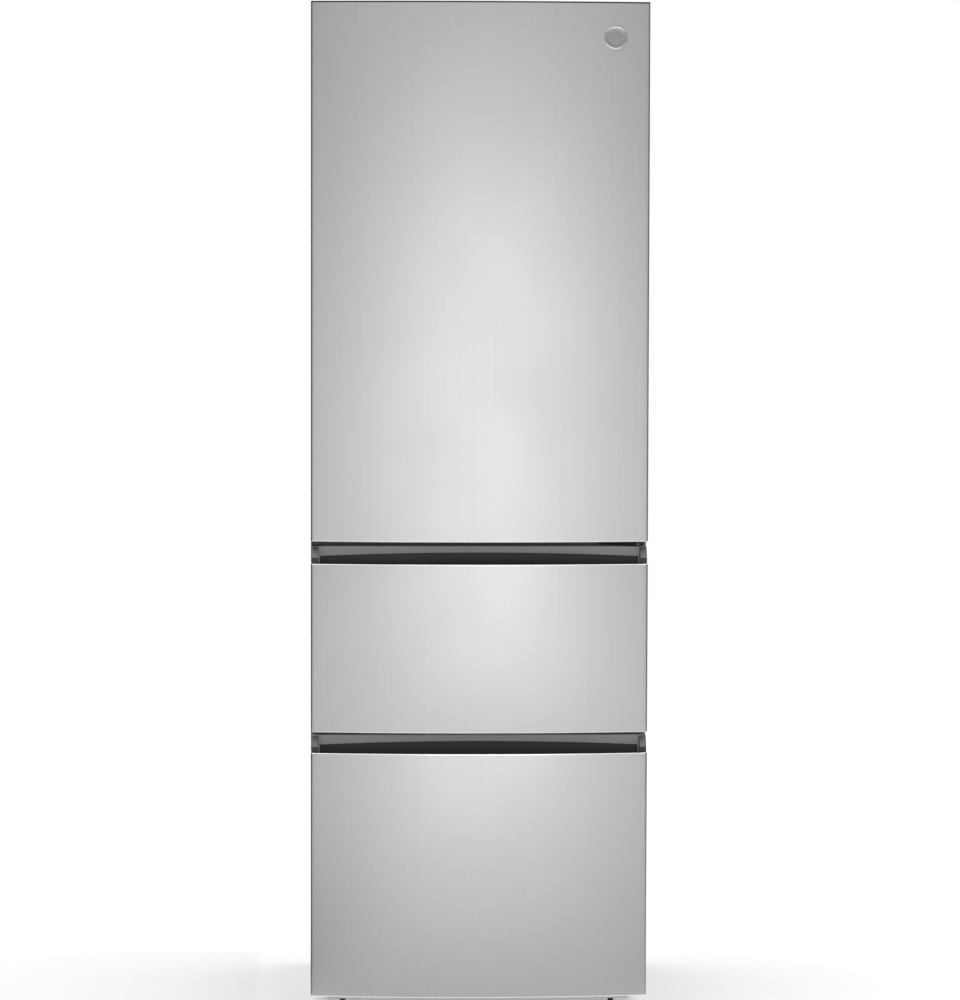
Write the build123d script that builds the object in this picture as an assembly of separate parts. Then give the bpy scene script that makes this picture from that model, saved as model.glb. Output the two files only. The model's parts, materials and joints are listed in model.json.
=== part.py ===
from build123d import *
import math
import os

# Bottom freezer refrigerator, 24 inch class: one swing door over two pull-out freezer drawers.
# Frame: +X to the right, +Y to the back, +Z up. The fronts face -Y. The origin is on the floor,
# under the centre of the whole appliance. All sizes are in millimetres.

# ---------------------------------------------------------------- driving dimensions
# overall
cabinet_width = 595.0  # across the side panels, and across the fronts
cabinet_depth = 570.0  # front face of the cabinet to the back panel
seal_gap = 12.0  # back of a front to the cabinet face, filled by the magnetic seal
front_edge_depth = 46.0  # thickness of a front at its left and right edges
front_bow = 22.0  # how far the middle of a front stands ahead of its edges
rear_stand_off = 14.0  # wall spacers behind the back panel

# heights, from the floor up
floor_gap = 40.0  # floor to the lowest front's lower edge
base_height = 42.0  # floor to the underside of the base plate
bottom_front_height = 434.0
middle_front_height = 299.0
upper_front_height = 948.5
grip_height = 30.0  # grip moulding above a drawer's steel
drawer_gap = 6.0  # clear gap over the bottom drawer's grip
hinge_gap = 8.5  # clear gap over the middle drawer's grip, which holds the door hinge
cover_step = 6.0  # top cover below the top of the door
top_cover_thickness = 8.0

# sheets, liners and insulation
sheet = 1.0
steel_corner_radius = 4.0
steel_hem_radius = 2.2
liner_wall = 2.0
side_insulation = 57.0
back_insulation = 52.0
top_insulation = 38.0
floor_insulation = 52.0
front_lap = 30.0  # how far a front laps over the cabinet face around its opening
base_sheet = 1.5
base_flange_height = 32.0  # upturned rear edge of the base plate
rail_sheet = 1.5
rail_depth = 40.0  # of the cross beam between the two drawers

# machine room
machine_depth = 221.0  # from the back panel forward
machine_height = 258.0  # above the base plate's underside
machine_wall = 50.0  # insulation over and in front of the machine room

# seals
seal_margin = 6.0  # seal outside the edge of the opening
seal_width = 16.0
seal_bulb_width = 11.0
seal_base_thickness = 4.0
seal_clearance = 0.4

# grip moulding
fit_gap = 0.2  # between parts that slip into each other
grip_wall = 2.5
grip_lip = 6.0  # steel folded back over the grip's front wall
grip_reach = 24.0  # steel edge to the grip's back wall, at the ends
finger_depth = 18.0  # trough below the steel's top edge
scoop_depth = 11.0
scoop_end_drop = 18.0  # top of the grip down to the scoop, at its ends
scoop_middle_drop = 12.0  # the same, in the middle
scoop_margin = 16.0  # scoop short of the sides
grip_end_width = 12.0
grip_edge_radius = 2.0

# door hinges
pivot_inset = 17.0  # pivot from the side of the door
pivot_depth = 18.0  # pivot behind the front's edge
hinge_plate = 4.0
hinge_eye_radius = 11.0
hinge_pin_radius = 5.0
hinge_pin_length = 20.0
pin_clearance = 0.06
bushing_radius = 9.0
bushing_length = 22.0
hinge_pocket_margin = 3.0
hinge_foot_width = 50.0
hinge_foot_depth = 60.0
hinge_foot_inset = 20.0  # from the pivot, away from the side
hinge_foot_setback = 10.0  # behind the cabinet face
hinge_cover_wall = 2.0
hinge_cover_height = 7.0
centre_leg_height = 34.0
blank_width = 21.0
blank_reach = 40.0
screw_head_radius = 4.0
screw_head_height = 2.2

# upper door
cap_flange = 2.6
cap_depth = 42.0
door_liner_margin = 4.0
dyke_gap = 11.5  # door's raised frame inside the opening
dyke_width = 28.0
dyke_depth = 44.0
dyke_top_gap = 26.0
dyke_bottom_gap = 12.0
bin_rises = (0.0, 230.0, 425.0, 616.0)  # above the lower rail of the door's raised frame
bin_heights = (110.0, 80.0, 80.0, 70.0)
bin_depth = 92.0
bin_wall = 2.5
bin_corner_radius = 10.0
bin_clearance = 1.0
bin_lug_height = 12.0
bin_lug_depth = 30.0
bin_lug_width = 8.0
lid_thickness = 2.5
lid_pin_radius = 3.0
lid_pin_reach = 5.0  # into the raised frame's sides
lid_pin_clearance = 0.06
badge_radius = 20.0
badge_thickness = 2.6
badge_rim = 2.2
badge_rim_height = 0.8
badge_from_side = 61.5
badge_from_top = 63.0

# fresh food compartment
crisper_cover_rise = 208.5  # above the compartment's floor, as the next one
first_shelf_rise = 362.5
shelf_pitch = 160.0
shelf_count = 3
shelf_thickness = 4.0
shelf_side_gap = 3.0
shelf_front_setback = 112.0  # behind the cabinet face
shelf_back_gap = 23.0  # in front of the compartment's back wall
rib_width = 9.0
rib_height = 8.0
trim_depth = 12.0
trim_bite = 5.0  # glass inside its trim
trim_height = 11.0
cover_trim_height = 22.0
crisper_side_gap = 14.0
crisper_setback = 24.0  # behind the shelf fronts
crisper_back_gap = 34.0
crisper_wall = 3.0
crisper_height = 180.0
crisper_runner = 5.0
crisper_corner_radius = 12.0
crisper_pull_reach = 12.0
slider_length = 18.0
slider_travel = 30.0
slider_height = 7.0
slider_groove = 3.0
slider_reach = 4.0
slider_clearance = 0.3
duct_width = 150.0
duct_depth = 13.0
duct_rise = 26.0  # above the crisper's cover
duct_drop = 38.0  # below the ceiling
vent_length = 46.0
vent_height = 7.0
vent_depth = 6.0
vent_rows = 5
panel_width = 250.0
panel_depth = 60.0
panel_height = 24.0
panel_setback = 42.0  # behind the cabinet face
button_radius = 6.5
button_length = 9.0
button_reach = 2.0
button_clearance = 0.3
button_travel = 1.5
button_spacing = 60.0
lens_width = 190.0
lens_depth = 90.0
lens_height = 11.0
lens_setback = 150.0

# freezer compartment
slide_height = 36.0
slide_sheet = 1.5
slide_depth = 13.5  # of the fixed channel, from the liner's wall
slide_clearance = 0.7
slide_setback = 8.0
slide_bar_reach = 7.5  # drawer bar past the fixed channel, towards the basket
slide_bracket_height = 70.0
slide_bracket_width = 26.0
slide_bracket_thickness = 3.0
middle_slide_drop = 39.0  # slide's centre below the top of its opening, as the next one
bottom_slide_drop = 36.0
bottom_slide_back_gap = 14.0
basket_wall = 2.5
basket_side_gap = 1.0
basket_floor_gap = 10.0
bottom_basket_back_gap = 10.0
basket_front_gap = 6.0
basket_back_gap = 40.0  # middle basket and its slides, to the evaporator cover
basket_rise = 14.0  # rim above the top of the drawer bar
basket_rim = 2.5
basket_rim_reach = 6.0
basket_corner_radius = 14.0
evaporator_cover_gap = 47.0  # cover in front of the back wall
evaporator_cover_thickness = 4.0
evaporator_side_gap = 47.5
evaporator_height = 160.0
evaporator_depth = 36.0
evaporator_rise = 48.0  # above the step over the machine room
coil_rows = 3
fin_count = 20
fin_thickness = 1.0
coil_tube_radius = 4.0
freezer_fan_drop = 89.0  # below the freezer's ceiling
freezer_fan_radius = 52.0
fan_hub_radius = 17.0
fan_blade_thickness = 2.4
fan_blade_angle = 28.0
fan_blade_count = 5
fan_clearance = 4.0
freezer_fan_depth = 16.0
motor_radius = 24.0
shaft_radius = 2.5
shaft_clearance = 0.06

# machine room contents
compressor_x = 135.0
compressor_length = 172.0
compressor_width = 138.0
compressor_height = 132.0
compressor_shoulder = 34.0
compressor_seam_reach = 4.0
compressor_plate = 3.0
compressor_plate_length = 210.0
compressor_plate_width = 150.0
grommet_radius = 11.0
grommet_height = 17.0
pan_height = 28.0
pan_wall = 2.0
pan_gap = 8.0
condenser_from_side = 82.5
condenser_pitch = 24.0
condenser_runs = 9
condenser_tube_radius = 3.0
condenser_margin = 26.0
machine_fan_x = -60.0
machine_fan_radius = 62.0
machine_fan_depth = 22.0
shroud_size = 150.0
shroud_thickness = 4.0
spoke_width = 8.0
cover_thickness = 2.0
cover_margin = 12.0
side_return = 30.0  # side panel folded in behind the machine room cover
louvre_length = 90.0
louvre_height = 5.0
louvre_rows = 7
louvre_columns = 4
louvre_pitch_x = 125.0
louvre_pitch_z = 22.0
spacer_width = 30.0
spacer_height = 60.0
spacer_from_top = 90.0
spacer_from_side = 60.0
gland_radius = 9.0
gland_bore_radius = 4.0
gland_from_side = 77.5
gland_rise = 50.0  # above the base plate

# feet and rollers
foot_from_side = 57.0
foot_setback = 48.0
foot_pad_radius = 20.0
foot_pad_height = 8.0
foot_hex_radius = 9.5
foot_hex_height = 5.0
foot_stud_radius = 5.0
foot_stud_top = 38.0
foot_travel = 12.0
foot_bracket_width = 60.0
foot_bracket_depth = 46.0
foot_bracket_sheet = 3.0
foot_plate_level = 22.0
foot_clearance = 0.1
roller_radius = 18.0
roller_width = 20.0
roller_edge_radius = 2.0
roller_from_side = 62.0
roller_from_back = 48.0
axle_radius = 4.0
axle_clearance = 0.08
axle_overhang = 4.0
roller_bracket_gap = 1.5
roller_bracket_sheet = 3.0
roller_bracket_depth = 34.0

# ---------------------------------------------------------------- derived levels and planes
half_width = cabinet_width / 2
overall_depth = front_bow + front_edge_depth + seal_gap + cabinet_depth + rear_stand_off
front_y = -overall_depth / 2  # foremost line of the bowed fronts
edge_y = front_y + front_bow  # front surface at the left and right edges
front_back_y = edge_y + front_edge_depth  # back of the fronts
face_y = front_back_y + seal_gap  # front face of the cabinet
back_y = face_y + cabinet_depth
bow_radius = (half_width**2 + front_bow**2) / (2 * front_bow)
bow_centre_y = front_y + bow_radius

bottom_z0 = floor_gap
bottom_z1 = bottom_z0 + bottom_front_height
middle_z0 = bottom_z1 + grip_height + drawer_gap
middle_z1 = middle_z0 + middle_front_height
upper_z0 = middle_z1 + grip_height + hinge_gap
upper_z1 = upper_z0 + upper_front_height
cover_z1 = upper_z1 - cover_step
shell_z1 = cover_z1 - top_cover_thickness

cavity_half = half_width - sheet - side_insulation - liner_wall
liner_half = cavity_half + liner_wall
cavity_back_y = back_y - sheet - back_insulation - liner_wall
fresh_z0 = upper_z0 + front_lap
fresh_z1 = shell_z1 - top_insulation - liner_wall
freezer_z1 = middle_z1 - front_lap
beam_z1 = middle_z0 + front_lap
beam_z0 = bottom_z1 - front_lap
base_z1 = base_height + base_sheet
freezer_z0 = base_z1 + floor_insulation + liner_wall

machine_y = back_y - machine_depth
machine_z1 = base_height + machine_height
step_y = machine_y - machine_wall - liner_wall  # freezer's back wall beside the machine room
step_z = machine_z1 + machine_wall + liner_wall  # freezer's floor over the machine room

pivot_x = half_width - pivot_inset
pivot_y = edge_y + pivot_depth
shelf_front_y = face_y + shelf_front_setback
shelf_back_y = cavity_back_y - shelf_back_gap
evaporator_cover_y = cavity_back_y - evaporator_cover_gap


# ---------------------------------------------------------------- helpers
def block(x0, x1, y0, y1, z0, z1):
    """A box between two corners."""
    return Pos((x0 + x1) / 2, (y0 + y1) / 2, (z0 + z1) / 2) * Box(x1 - x0, y1 - y0, z1 - z0)


def rod(radius, start, end):
    """A cylinder from one point to another."""
    axis = Vector(*end) - Vector(*start)
    plane = Plane(origin=start, z_dir=axis)
    return extrude(plane * Circle(radius), amount=axis.length)


def both_sides(shape):
    """A shape and its mirror image across the middle of the appliance."""
    return [shape, mirror(shape, about=Plane.YZ)]


def frame_block(x_half, z0, z1, border, y0, y1):
    """A rectangular ring outside an opening, thick in Y."""
    outer = block(-x_half - border, x_half + border, y0, y1, z0 - border, z1 + border)
    return outer - block(-x_half, x_half, y0 - 1, y1 + 1, z0, z1)


def open_box(x0, x1, y0, y1, z0, z1, wall, corner_radius):
    """An open-topped moulded box with rounded upright corners."""
    outer = block(x0, x1, y0, y1, z0, z1)
    outer = fillet(outer.edges().filter_by(Axis.Z), corner_radius)
    inner = block(x0 + wall, x1 - wall, y0 + wall, y1 - wall, z0 + wall, z1 + wall)
    inner = fillet(inner.edges().filter_by(Axis.Z), corner_radius - wall)
    return outer - inner


def bow_y(x, inset=0.0):
    """Y of the bowed front at x, or of the surface that lies inset behind it."""
    return bow_centre_y - math.sqrt((bow_radius - inset) ** 2 - x**2)


def bowed_outline(inset, rear_y, corner_radius=0.0):
    """Plan of a front: bowed ahead, straight at the sides and back."""
    half = half_width - inset
    start_y = bow_y(half, inset)
    sides = Polyline((half, start_y), (half, rear_y), (-half, rear_y), (-half, start_y))
    bow = ThreePointArc((-half, start_y), (0, front_y + inset), (half, start_y))
    plan = make_face(sides + bow)
    if corner_radius > 0:
        corners = plan.vertices().sort_by(Axis.Y)[0:2]
        plan = fillet(corners, corner_radius)
    return plan


def prism(plan, z0, z1):
    """A plan pulled up between two levels."""
    return extrude(Pos(0, 0, z0) * plan, amount=z1 - z0, dir=(0, 0, 1))


def hemmed(solid, levels, rear_y, radius):
    """Rounds a front's edges at the given levels, along its bow and its sides."""
    chosen = []
    for edge in solid.edges():
        middle = edge.center()
        at_level = any(abs(middle.Z - level) < 0.01 for level in levels)
        if at_level and middle.Y < rear_y - 0.01:
            chosen.append(edge)
    return fillet(chosen, radius)


# ---------------------------------------------------------------- fronts, shared by door and drawers
pan_rear_y = front_back_y - liner_wall


def steel_pan(z0, z1, closed_top):
    """Folded stainless front: bowed face, side returns, and a hem at the bottom and maybe the top."""
    outer = prism(bowed_outline(0, pan_rear_y, steel_corner_radius), z0, z1)
    levels = (z0, z1) if closed_top else (z0,)
    outer = hemmed(outer, levels, pan_rear_y, steel_hem_radius)
    inner_top = z1 - sheet if closed_top else z1 + sheet
    inner_plan = bowed_outline(sheet, pan_rear_y + sheet, steel_corner_radius - sheet)
    inner = prism(inner_plan, z0 + sheet, inner_top)
    inner_levels = (z0 + sheet, inner_top) if closed_top else (z0 + sheet,)
    inner = hemmed(inner, inner_levels, pan_rear_y + sheet, steel_hem_radius - sheet)
    return outer - inner


def core_block(z0, z1):
    """Foam that fills a pan between two levels."""
    plan = bowed_outline(sheet, pan_rear_y, steel_corner_radius - sheet)
    core = prism(plan, z0 + sheet, z1)
    return hemmed(core, (z0 + sheet,), pan_rear_y, steel_hem_radius - sheet)


def seal_ring(z0, z1):
    """Magnetic seal around an opening: a flat base on the front and a narrower bulb behind it."""
    base_y1 = front_back_y + seal_base_thickness
    inner_half = cavity_half + seal_margin
    base = frame_block(inner_half, z0 - seal_margin, z1 + seal_margin, seal_width, front_back_y, base_y1)
    side = (seal_width - seal_bulb_width) / 2
    bulb_half = inner_half + side
    bulb_margin = seal_margin + side
    bulb = frame_block(
        bulb_half, z0 - bulb_margin, z1 + bulb_margin, seal_bulb_width, base_y1, face_y - seal_clearance
    )
    return base + bulb


# ---------------------------------------------------------------- drawer fronts
grip_wall_y = edge_y + grip_reach


def grip_moulding(steel_top):
    """Recessed grip over a drawer's steel: a trough behind the steel's edge, a back wall and a scoop."""
    top = steel_top + grip_height
    floor = steel_top - finger_depth
    outside = sheet + fit_gap
    half = half_width - outside
    under_hem = steel_top - steel_hem_radius
    bottom = floor - grip_wall
    trough = prism(bowed_outline(outside, grip_wall_y, steel_corner_radius - outside), bottom, under_hem)
    inner = outside + grip_wall
    trough -= prism(bowed_outline(inner, grip_wall_y + 1), floor, steel_top + 1)
    tower = block(-half, half, grip_wall_y, front_back_y, bottom, top)
    front_edge = tower.edges().filter_by(Axis.X).sort_by(Axis.Z)[-2:].sort_by(Axis.Y)[0]
    tower = fillet(front_edge, grip_edge_radius)
    moulding = trough + tower
    for end in both_sides(end_block(steel_top, half)):
        moulding += end
    return moulding - finger_scoop(top, floor)


def end_block(steel_top, half):
    """Closed end of a grip, with a quarter-round front that runs up to the back wall."""
    rise = grip_height - grip_edge_radius
    reach = min(grip_reach - grip_lip, rise)
    x0 = half - grip_end_width
    lower = block(x0, half - grip_wall, grip_wall_y - reach, grip_wall_y, steel_top - finger_depth, steel_top)
    plane = Plane(origin=(x0, grip_wall_y, steel_top), x_dir=(0, -1, 0), z_dir=(-1, 0, 0))
    low = steel_top - steel_hem_radius
    quarter = make_face(
        Polyline((reach, 0), (0, 0), (0, rise)) + ThreePointArc(
            (0, rise), (reach * math.sin(math.pi / 4), rise * math.cos(math.pi / 4)), (reach, 0)
        )
    )
    upper = extrude(plane * quarter, amount=half - x0, dir=(1, 0, 0))
    lower &= block(x0, half, grip_wall_y - reach, grip_wall_y, steel_top - finger_depth, low)
    neck_x1 = half_width - grip_lip - fit_gap
    neck = block(x0, neck_x1, grip_wall_y - reach, grip_wall_y, low, steel_top)
    return upper + neck + lower


def finger_scoop(top, floor):
    """Space cut into the back wall, under an arch that rises in the middle."""
    span = half_width - scoop_margin
    end_z = top - scoop_end_drop
    arch = ThreePointArc((-span, end_z), (0, top - scoop_middle_drop), (span, end_z))
    sides = Polyline((span, end_z), (span, floor), (-span, floor), (-span, end_z))
    plan = Plane.XZ * make_face(sides + arch)
    return extrude(Pos(0, grip_wall_y - 1, 0) * plan, amount=scoop_depth + 1, dir=(0, 1, 0))


def drawer_front(prefix, z0, z1, opening_z0, opening_z1):
    """Steel pan, foam, inner panel, seal and grip of one drawer front."""
    outside = sheet + fit_gap
    trough_bottom = z1 - finger_depth - grip_wall
    pan = steel_pan(z0, z1, closed_top=True)
    behind_lip = bowed_outline(grip_lip, pan_rear_y + 1)
    pan -= prism(behind_lip, z1 - 2 * sheet, z1 + sheet)
    half = half_width - outside
    pan -= block(-half, half, grip_wall_y - fit_gap, front_back_y, trough_bottom, z1 + sheet)
    core = core_block(z0, trough_bottom)
    panel = block(-half, half, pan_rear_y, front_back_y, z0 + outside, trough_bottom)
    return {
        prefix + "_front_skin": pan,
        prefix + "_front_foam": core,
        prefix + "_front_panel": panel,
        prefix + "_front_seal": seal_ring(opening_z0, opening_z1),
        prefix + "_grip": grip_moulding(z1),
    }


# ---------------------------------------------------------------- slides and baskets
channel_x0 = cavity_half - slide_depth
bar_x0 = channel_x0 - slide_bar_reach


def channel(x0, x1, half_height, level, y0, y1):
    """A sheet channel that opens towards the middle of the appliance."""
    outer = block(x0, x1, y0, y1, level - half_height, level + half_height)
    inner_half = half_height - slide_sheet
    return outer - block(x0 - 1, x1 - slide_sheet, y0 - 1, y1 + 1, level - inner_half, level + inner_half)


def slide_set(level, y1):
    """Fixed channels, middle channels, and the bars that belong to the drawer."""
    y0 = face_y + slide_setback
    fixed_half = slide_height / 2
    middle_half = fixed_half - slide_sheet - slide_clearance
    bar_half = middle_half - slide_sheet - slide_clearance
    middle_x1 = cavity_half - slide_sheet - slide_clearance
    bar_x1 = middle_x1 - slide_sheet - slide_clearance
    fixed = channel(channel_x0, cavity_half, fixed_half, level, y0, y1)
    middle = channel(channel_x0, middle_x1, middle_half, level, y0 + slide_clearance, y1)
    bar = block(bar_x0, bar_x1, front_back_y, y1, level - bar_half, level + bar_half)
    bracket_half = slide_bracket_height / 2
    bracket_x0 = bar_x1 - slide_bracket_width
    bracket_y1 = front_back_y + slide_bracket_thickness
    bracket_top = level + bar_half
    bar += block(
        bracket_x0, bar_x1, front_back_y, bracket_y1, bracket_top - 2 * bracket_half, bracket_top
    )
    return both_sides(fixed), both_sides(middle), both_sides(bar), bracket_top


def basket(z0, rest_z, y1):
    """Moulded freezer basket whose rim rests on the drawer bars at rest_z."""
    half = bar_x0 - basket_side_gap
    y0 = front_back_y + slide_bracket_thickness + basket_front_gap
    z1 = rest_z + basket_rise
    tub = open_box(-half, half, y0, y1, z0, z1, basket_wall, basket_corner_radius)
    rim_half = half + basket_rim_reach
    ends = basket_corner_radius
    rim = block(-rim_half, rim_half, y0 + ends, y1 - ends, rest_z, rest_z + basket_rim)
    rim -= block(-half + 1, half - 1, y0, y1, rest_z - 1, rest_z + basket_rim + 1)
    return tub + rim


# ---------------------------------------------------------------- cabinet
def cabinet_shell():
    """Side panels with front flanges, top cover, back panel, cross rails and base plate."""
    side = block(half_width - sheet, half_width, face_y, back_y, base_height, shell_z1)
    side += block(liner_half, half_width, face_y, face_y + sheet, base_height, shell_z1)
    flange_z1 = base_height + base_flange_height
    return_x0 = half_width - side_return
    side += block(return_x0, half_width, back_y - sheet, back_y, flange_z1 + fit_gap, machine_z1 - fit_gap)
    foot_x0 = pivot_x - hinge_foot_inset - hinge_foot_width
    foot_y1 = face_y + hinge_foot_setback + hinge_foot_depth
    cover = block(-half_width, half_width, face_y, back_y, shell_z1, cover_z1)
    cover = fillet(cover.faces().sort_by(Axis.Z)[-1].edges(), steel_hem_radius)
    margin = hinge_pocket_margin
    cover -= block(
        foot_x0 - margin, half_width + 1, face_y - 1, foot_y1 + margin, shell_z1 - 1, cover_z1 + 1
    )
    inner_half = half_width - sheet
    back = block(-inner_half, inner_half, back_y - sheet, back_y, machine_z1, shell_z1)
    rail_levels = (
        (fresh_z1 + liner_wall, shell_z1),
        (freezer_z1 + liner_wall, fresh_z0 - liner_wall),
        (base_z1, freezer_z0 - liner_wall),
    )
    rails = [beam()]
    for z0, z1 in rail_levels:
        rails.append(block(-liner_half, liner_half, face_y, face_y + rail_sheet, z0, z1))
    base = block(-inner_half, inner_half, face_y + sheet, back_y, base_height, base_z1)
    base += block(-inner_half, inner_half, back_y - base_sheet, back_y, base_height, flange_z1)
    return {
        "side_panels": both_sides(side),
        "top_cover": [cover],
        "back_panel": [back],
        "front_rails": rails,
        "base_plate": [base],
    }


def beam():
    """Cross beam between the two drawers, a channel open to the back."""
    outer = block(-cavity_half, cavity_half, face_y, face_y + rail_depth, beam_z0, beam_z1)
    return outer - block(
        -cavity_half - 1,
        cavity_half + 1,
        face_y + rail_sheet,
        face_y + rail_depth + 1,
        beam_z0 + rail_sheet,
        beam_z1 - rail_sheet,
    )


def cabinet_foam():
    """Poured insulation, as slabs that meet face to face."""
    y0 = face_y + sheet
    rail_y = face_y + rail_sheet
    y1 = back_y - sheet
    inner_half = half_width - sheet
    liner_back = cavity_back_y + liner_wall
    step_back = step_y + liner_wall
    front_wall = block(liner_half, inner_half, y0, machine_y, base_z1, shell_z1)
    rear_wall = block(liner_half, inner_half, machine_y, y1, machine_z1, shell_z1)
    slabs = both_sides(front_wall) + both_sides(rear_wall)
    full = (-liner_half, liner_half)
    slabs.append(block(*full, rail_y, y1, fresh_z1 + liner_wall, shell_z1))
    slabs.append(block(*full, liner_back, y1, step_z - liner_wall, fresh_z1 + liner_wall))
    slabs.append(block(*full, rail_y, liner_back, freezer_z1 + liner_wall, fresh_z0 - liner_wall))
    slabs.append(block(*full, machine_y, y1, machine_z1, step_z - liner_wall))
    slabs.append(block(*full, step_back, machine_y, base_z1, step_z - liner_wall))
    slabs.append(block(*full, rail_y, step_back, base_z1, freezer_z0 - liner_wall))
    return slabs


def crisper_cover_level():
    """Underside of the glass over the crisper."""
    return fresh_z0 + crisper_cover_rise


def shelf_levels():
    """Undersides of the glass plates, from the crisper's cover up."""
    shelves = [fresh_z0 + first_shelf_rise + i * shelf_pitch for i in range(shelf_count)]
    return [crisper_cover_level()] + shelves


def fresh_liner():
    """White inner box of the fresh food compartment, with moulded shelf ribs and crisper runners."""
    z0 = fresh_z0 - liner_wall
    z1 = fresh_z1 + liner_wall
    liner = block(-liner_half, liner_half, face_y, cavity_back_y + liner_wall, z0, z1)
    liner -= block(-cavity_half, cavity_half, face_y - 1, cavity_back_y, fresh_z0, fresh_z1)
    rib_x0 = cavity_half - rib_width
    rib_y0 = shelf_front_y + trim_depth
    for level in shelf_levels():
        rib = block(rib_x0, cavity_half, rib_y0, shelf_back_y, level - rib_height, level)
        for side in both_sides(rib):
            liner += side
    runner_x1 = cavity_half - crisper_side_gap - 2 * crisper_corner_radius
    runner = block(
        runner_x1 - rib_width, runner_x1, shelf_front_y, cavity_back_y, fresh_z0, fresh_z0 + crisper_runner
    )
    for side in both_sides(runner):
        liner += side
    return liner


def freezer_liner():
    """White inner box of the freezer, stepped over the machine room."""
    top = freezer_z1 + liner_wall
    step_back = step_y + liner_wall
    liner = block(-liner_half, liner_half, face_y, step_back, freezer_z0 - liner_wall, top)
    liner += block(-liner_half, liner_half, face_y, cavity_back_y + liner_wall, step_z - liner_wall, top)
    liner -= block(-cavity_half, cavity_half, face_y - 1, step_y, freezer_z0, freezer_z1)
    liner -= block(-cavity_half, cavity_half, face_y - 1, cavity_back_y, step_z, freezer_z1)
    return liner


# ---------------------------------------------------------------- door hinges
def hinge_plan(foot_y0, foot_y1):
    """Plate from the eye around the pin back to the foot on the cabinet."""
    x1 = pivot_x - hinge_foot_inset
    x0 = x1 - hinge_foot_width
    eye = Pos(pivot_x, pivot_y) * Circle(hinge_eye_radius)
    foot = Pos((x0 + x1) / 2, (foot_y0 + foot_y1) / 2) * Rectangle(x1 - x0, foot_y1 - foot_y0)
    arm = make_hull(eye.edges() + foot.edges())
    return arm


def hinge_screw_spots():
    """X and Y of the three screws in the top hinge's foot."""
    x1 = pivot_x - hinge_foot_inset
    x0 = x1 - hinge_foot_width
    y0 = face_y + hinge_foot_setback
    inset = 2 * screw_head_radius + hinge_cover_wall
    y1 = y0 + hinge_foot_depth
    return [(x0 + inset, y0 + inset), (x1 - inset, y0 + inset), ((x0 + x1) / 2, y1 - inset)]


def door_hinges():
    """Top and centre hinge plates with their pins, the cover, the blank on the other side, the screws."""
    foot_y0 = face_y + hinge_foot_setback
    foot_y1 = foot_y0 + hinge_foot_depth
    top = prism(hinge_plan(foot_y0, foot_y1), shell_z1, shell_z1 + hinge_plate)
    pin_end = shell_z1 - hinge_pocket_margin - hinge_pin_length + 1
    top += rod(hinge_pin_radius, (pivot_x, pivot_y, pin_end), (pivot_x, pivot_y, shell_z1))

    plate_z1 = upper_z0 - (hinge_gap - hinge_plate) / 2
    plate_z0 = plate_z1 - hinge_plate
    leg_y0 = face_y - hinge_plate
    centre = prism(hinge_plan(leg_y0 - hinge_plate, face_y), plate_z0, plate_z1)
    x1 = pivot_x - hinge_foot_inset
    x0 = x1 - hinge_foot_width
    leg_z0 = plate_z1 - centre_leg_height
    centre += block(x0, x1, leg_y0, face_y, leg_z0, plate_z0)
    pin_top = upper_z0 + hinge_pin_length
    centre += rod(hinge_pin_radius, (pivot_x, pivot_y, plate_z1), (pivot_x, pivot_y, pin_top))

    screws = []
    for x, y in hinge_screw_spots():
        z = shell_z1 + hinge_plate
        screws.append(rod(screw_head_radius, (x, y, z), (x, y, z + screw_head_height)))
    leg_z = (leg_z0 + plate_z0) / 2
    for x in (x0 + 3 * screw_head_radius, x1 - 3 * screw_head_radius):
        screws.append(rod(screw_head_radius, (x, leg_y0, leg_z), (x, leg_y0 - screw_head_height, leg_z)))
    return [top, centre], [hinge_cover(foot_y0, foot_y1), hinge_blank()], screws


def hinge_cover(foot_y0, foot_y1):
    """Shallow cap over the top hinge's foot, up to the side of the cabinet."""
    margin = hinge_pocket_margin - fit_gap
    x0 = pivot_x - hinge_foot_inset - hinge_foot_width - margin
    z0 = shell_z1
    z1 = shell_z1 + hinge_plate + hinge_cover_height
    y1 = foot_y1 + margin
    wall = hinge_cover_wall
    cap = block(x0, half_width, face_y, y1, z0, z1)
    cap = fillet(cap.faces().sort_by(Axis.Z)[-1].edges(), hinge_cover_wall)
    cap -= block(x0 + wall, half_width - wall, face_y - 1, y1 - wall, z0 - 1, z1 - wall)
    return cap


def hinge_blank():
    """Block that fills the unused hinge place on the other side, in the gap over the middle drawer."""
    z1 = upper_z0 - (hinge_gap - hinge_plate) / 2
    x0 = -half_width + fit_gap
    plate = block(x0, x0 + blank_width, face_y - blank_reach, face_y, z1 - hinge_plate, z1)
    foot = block(x0, x0 + blank_width, face_y - hinge_plate, face_y, z1 - centre_leg_height, z1)
    return plate + foot


# ---------------------------------------------------------------- upper door
pocket_floor_z = shell_z1 - hinge_pocket_margin


def hinge_pocket():
    """Space in the door's top corner that the top hinge swings through."""
    x0 = pivot_x - hinge_foot_inset - hinge_foot_width
    y0 = pivot_y - hinge_eye_radius - hinge_pocket_margin
    return block(x0, half_width + 1, y0, front_back_y + 1, pocket_floor_z, upper_z1 + 1)


def dyke_limits():
    """Outer half width and levels of the door liner's raised frame."""
    return cavity_half - dyke_gap, fresh_z0 + dyke_bottom_gap, fresh_z1 - dyke_top_gap


def bin_levels():
    """Undersides of the door bins; the lowest stands on the raised frame's lower rail."""
    rail_top = dyke_limits()[1] + dyke_width / 2
    return [rail_top + rise for rise in bin_rises]


def lid_axis():
    """Y and Z of the dairy lid's hinge."""
    level = bin_levels()[-1] + bin_heights[-1] + bin_clearance + lid_pin_radius
    return front_back_y + bin_clearance + lid_pin_radius, level


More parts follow.
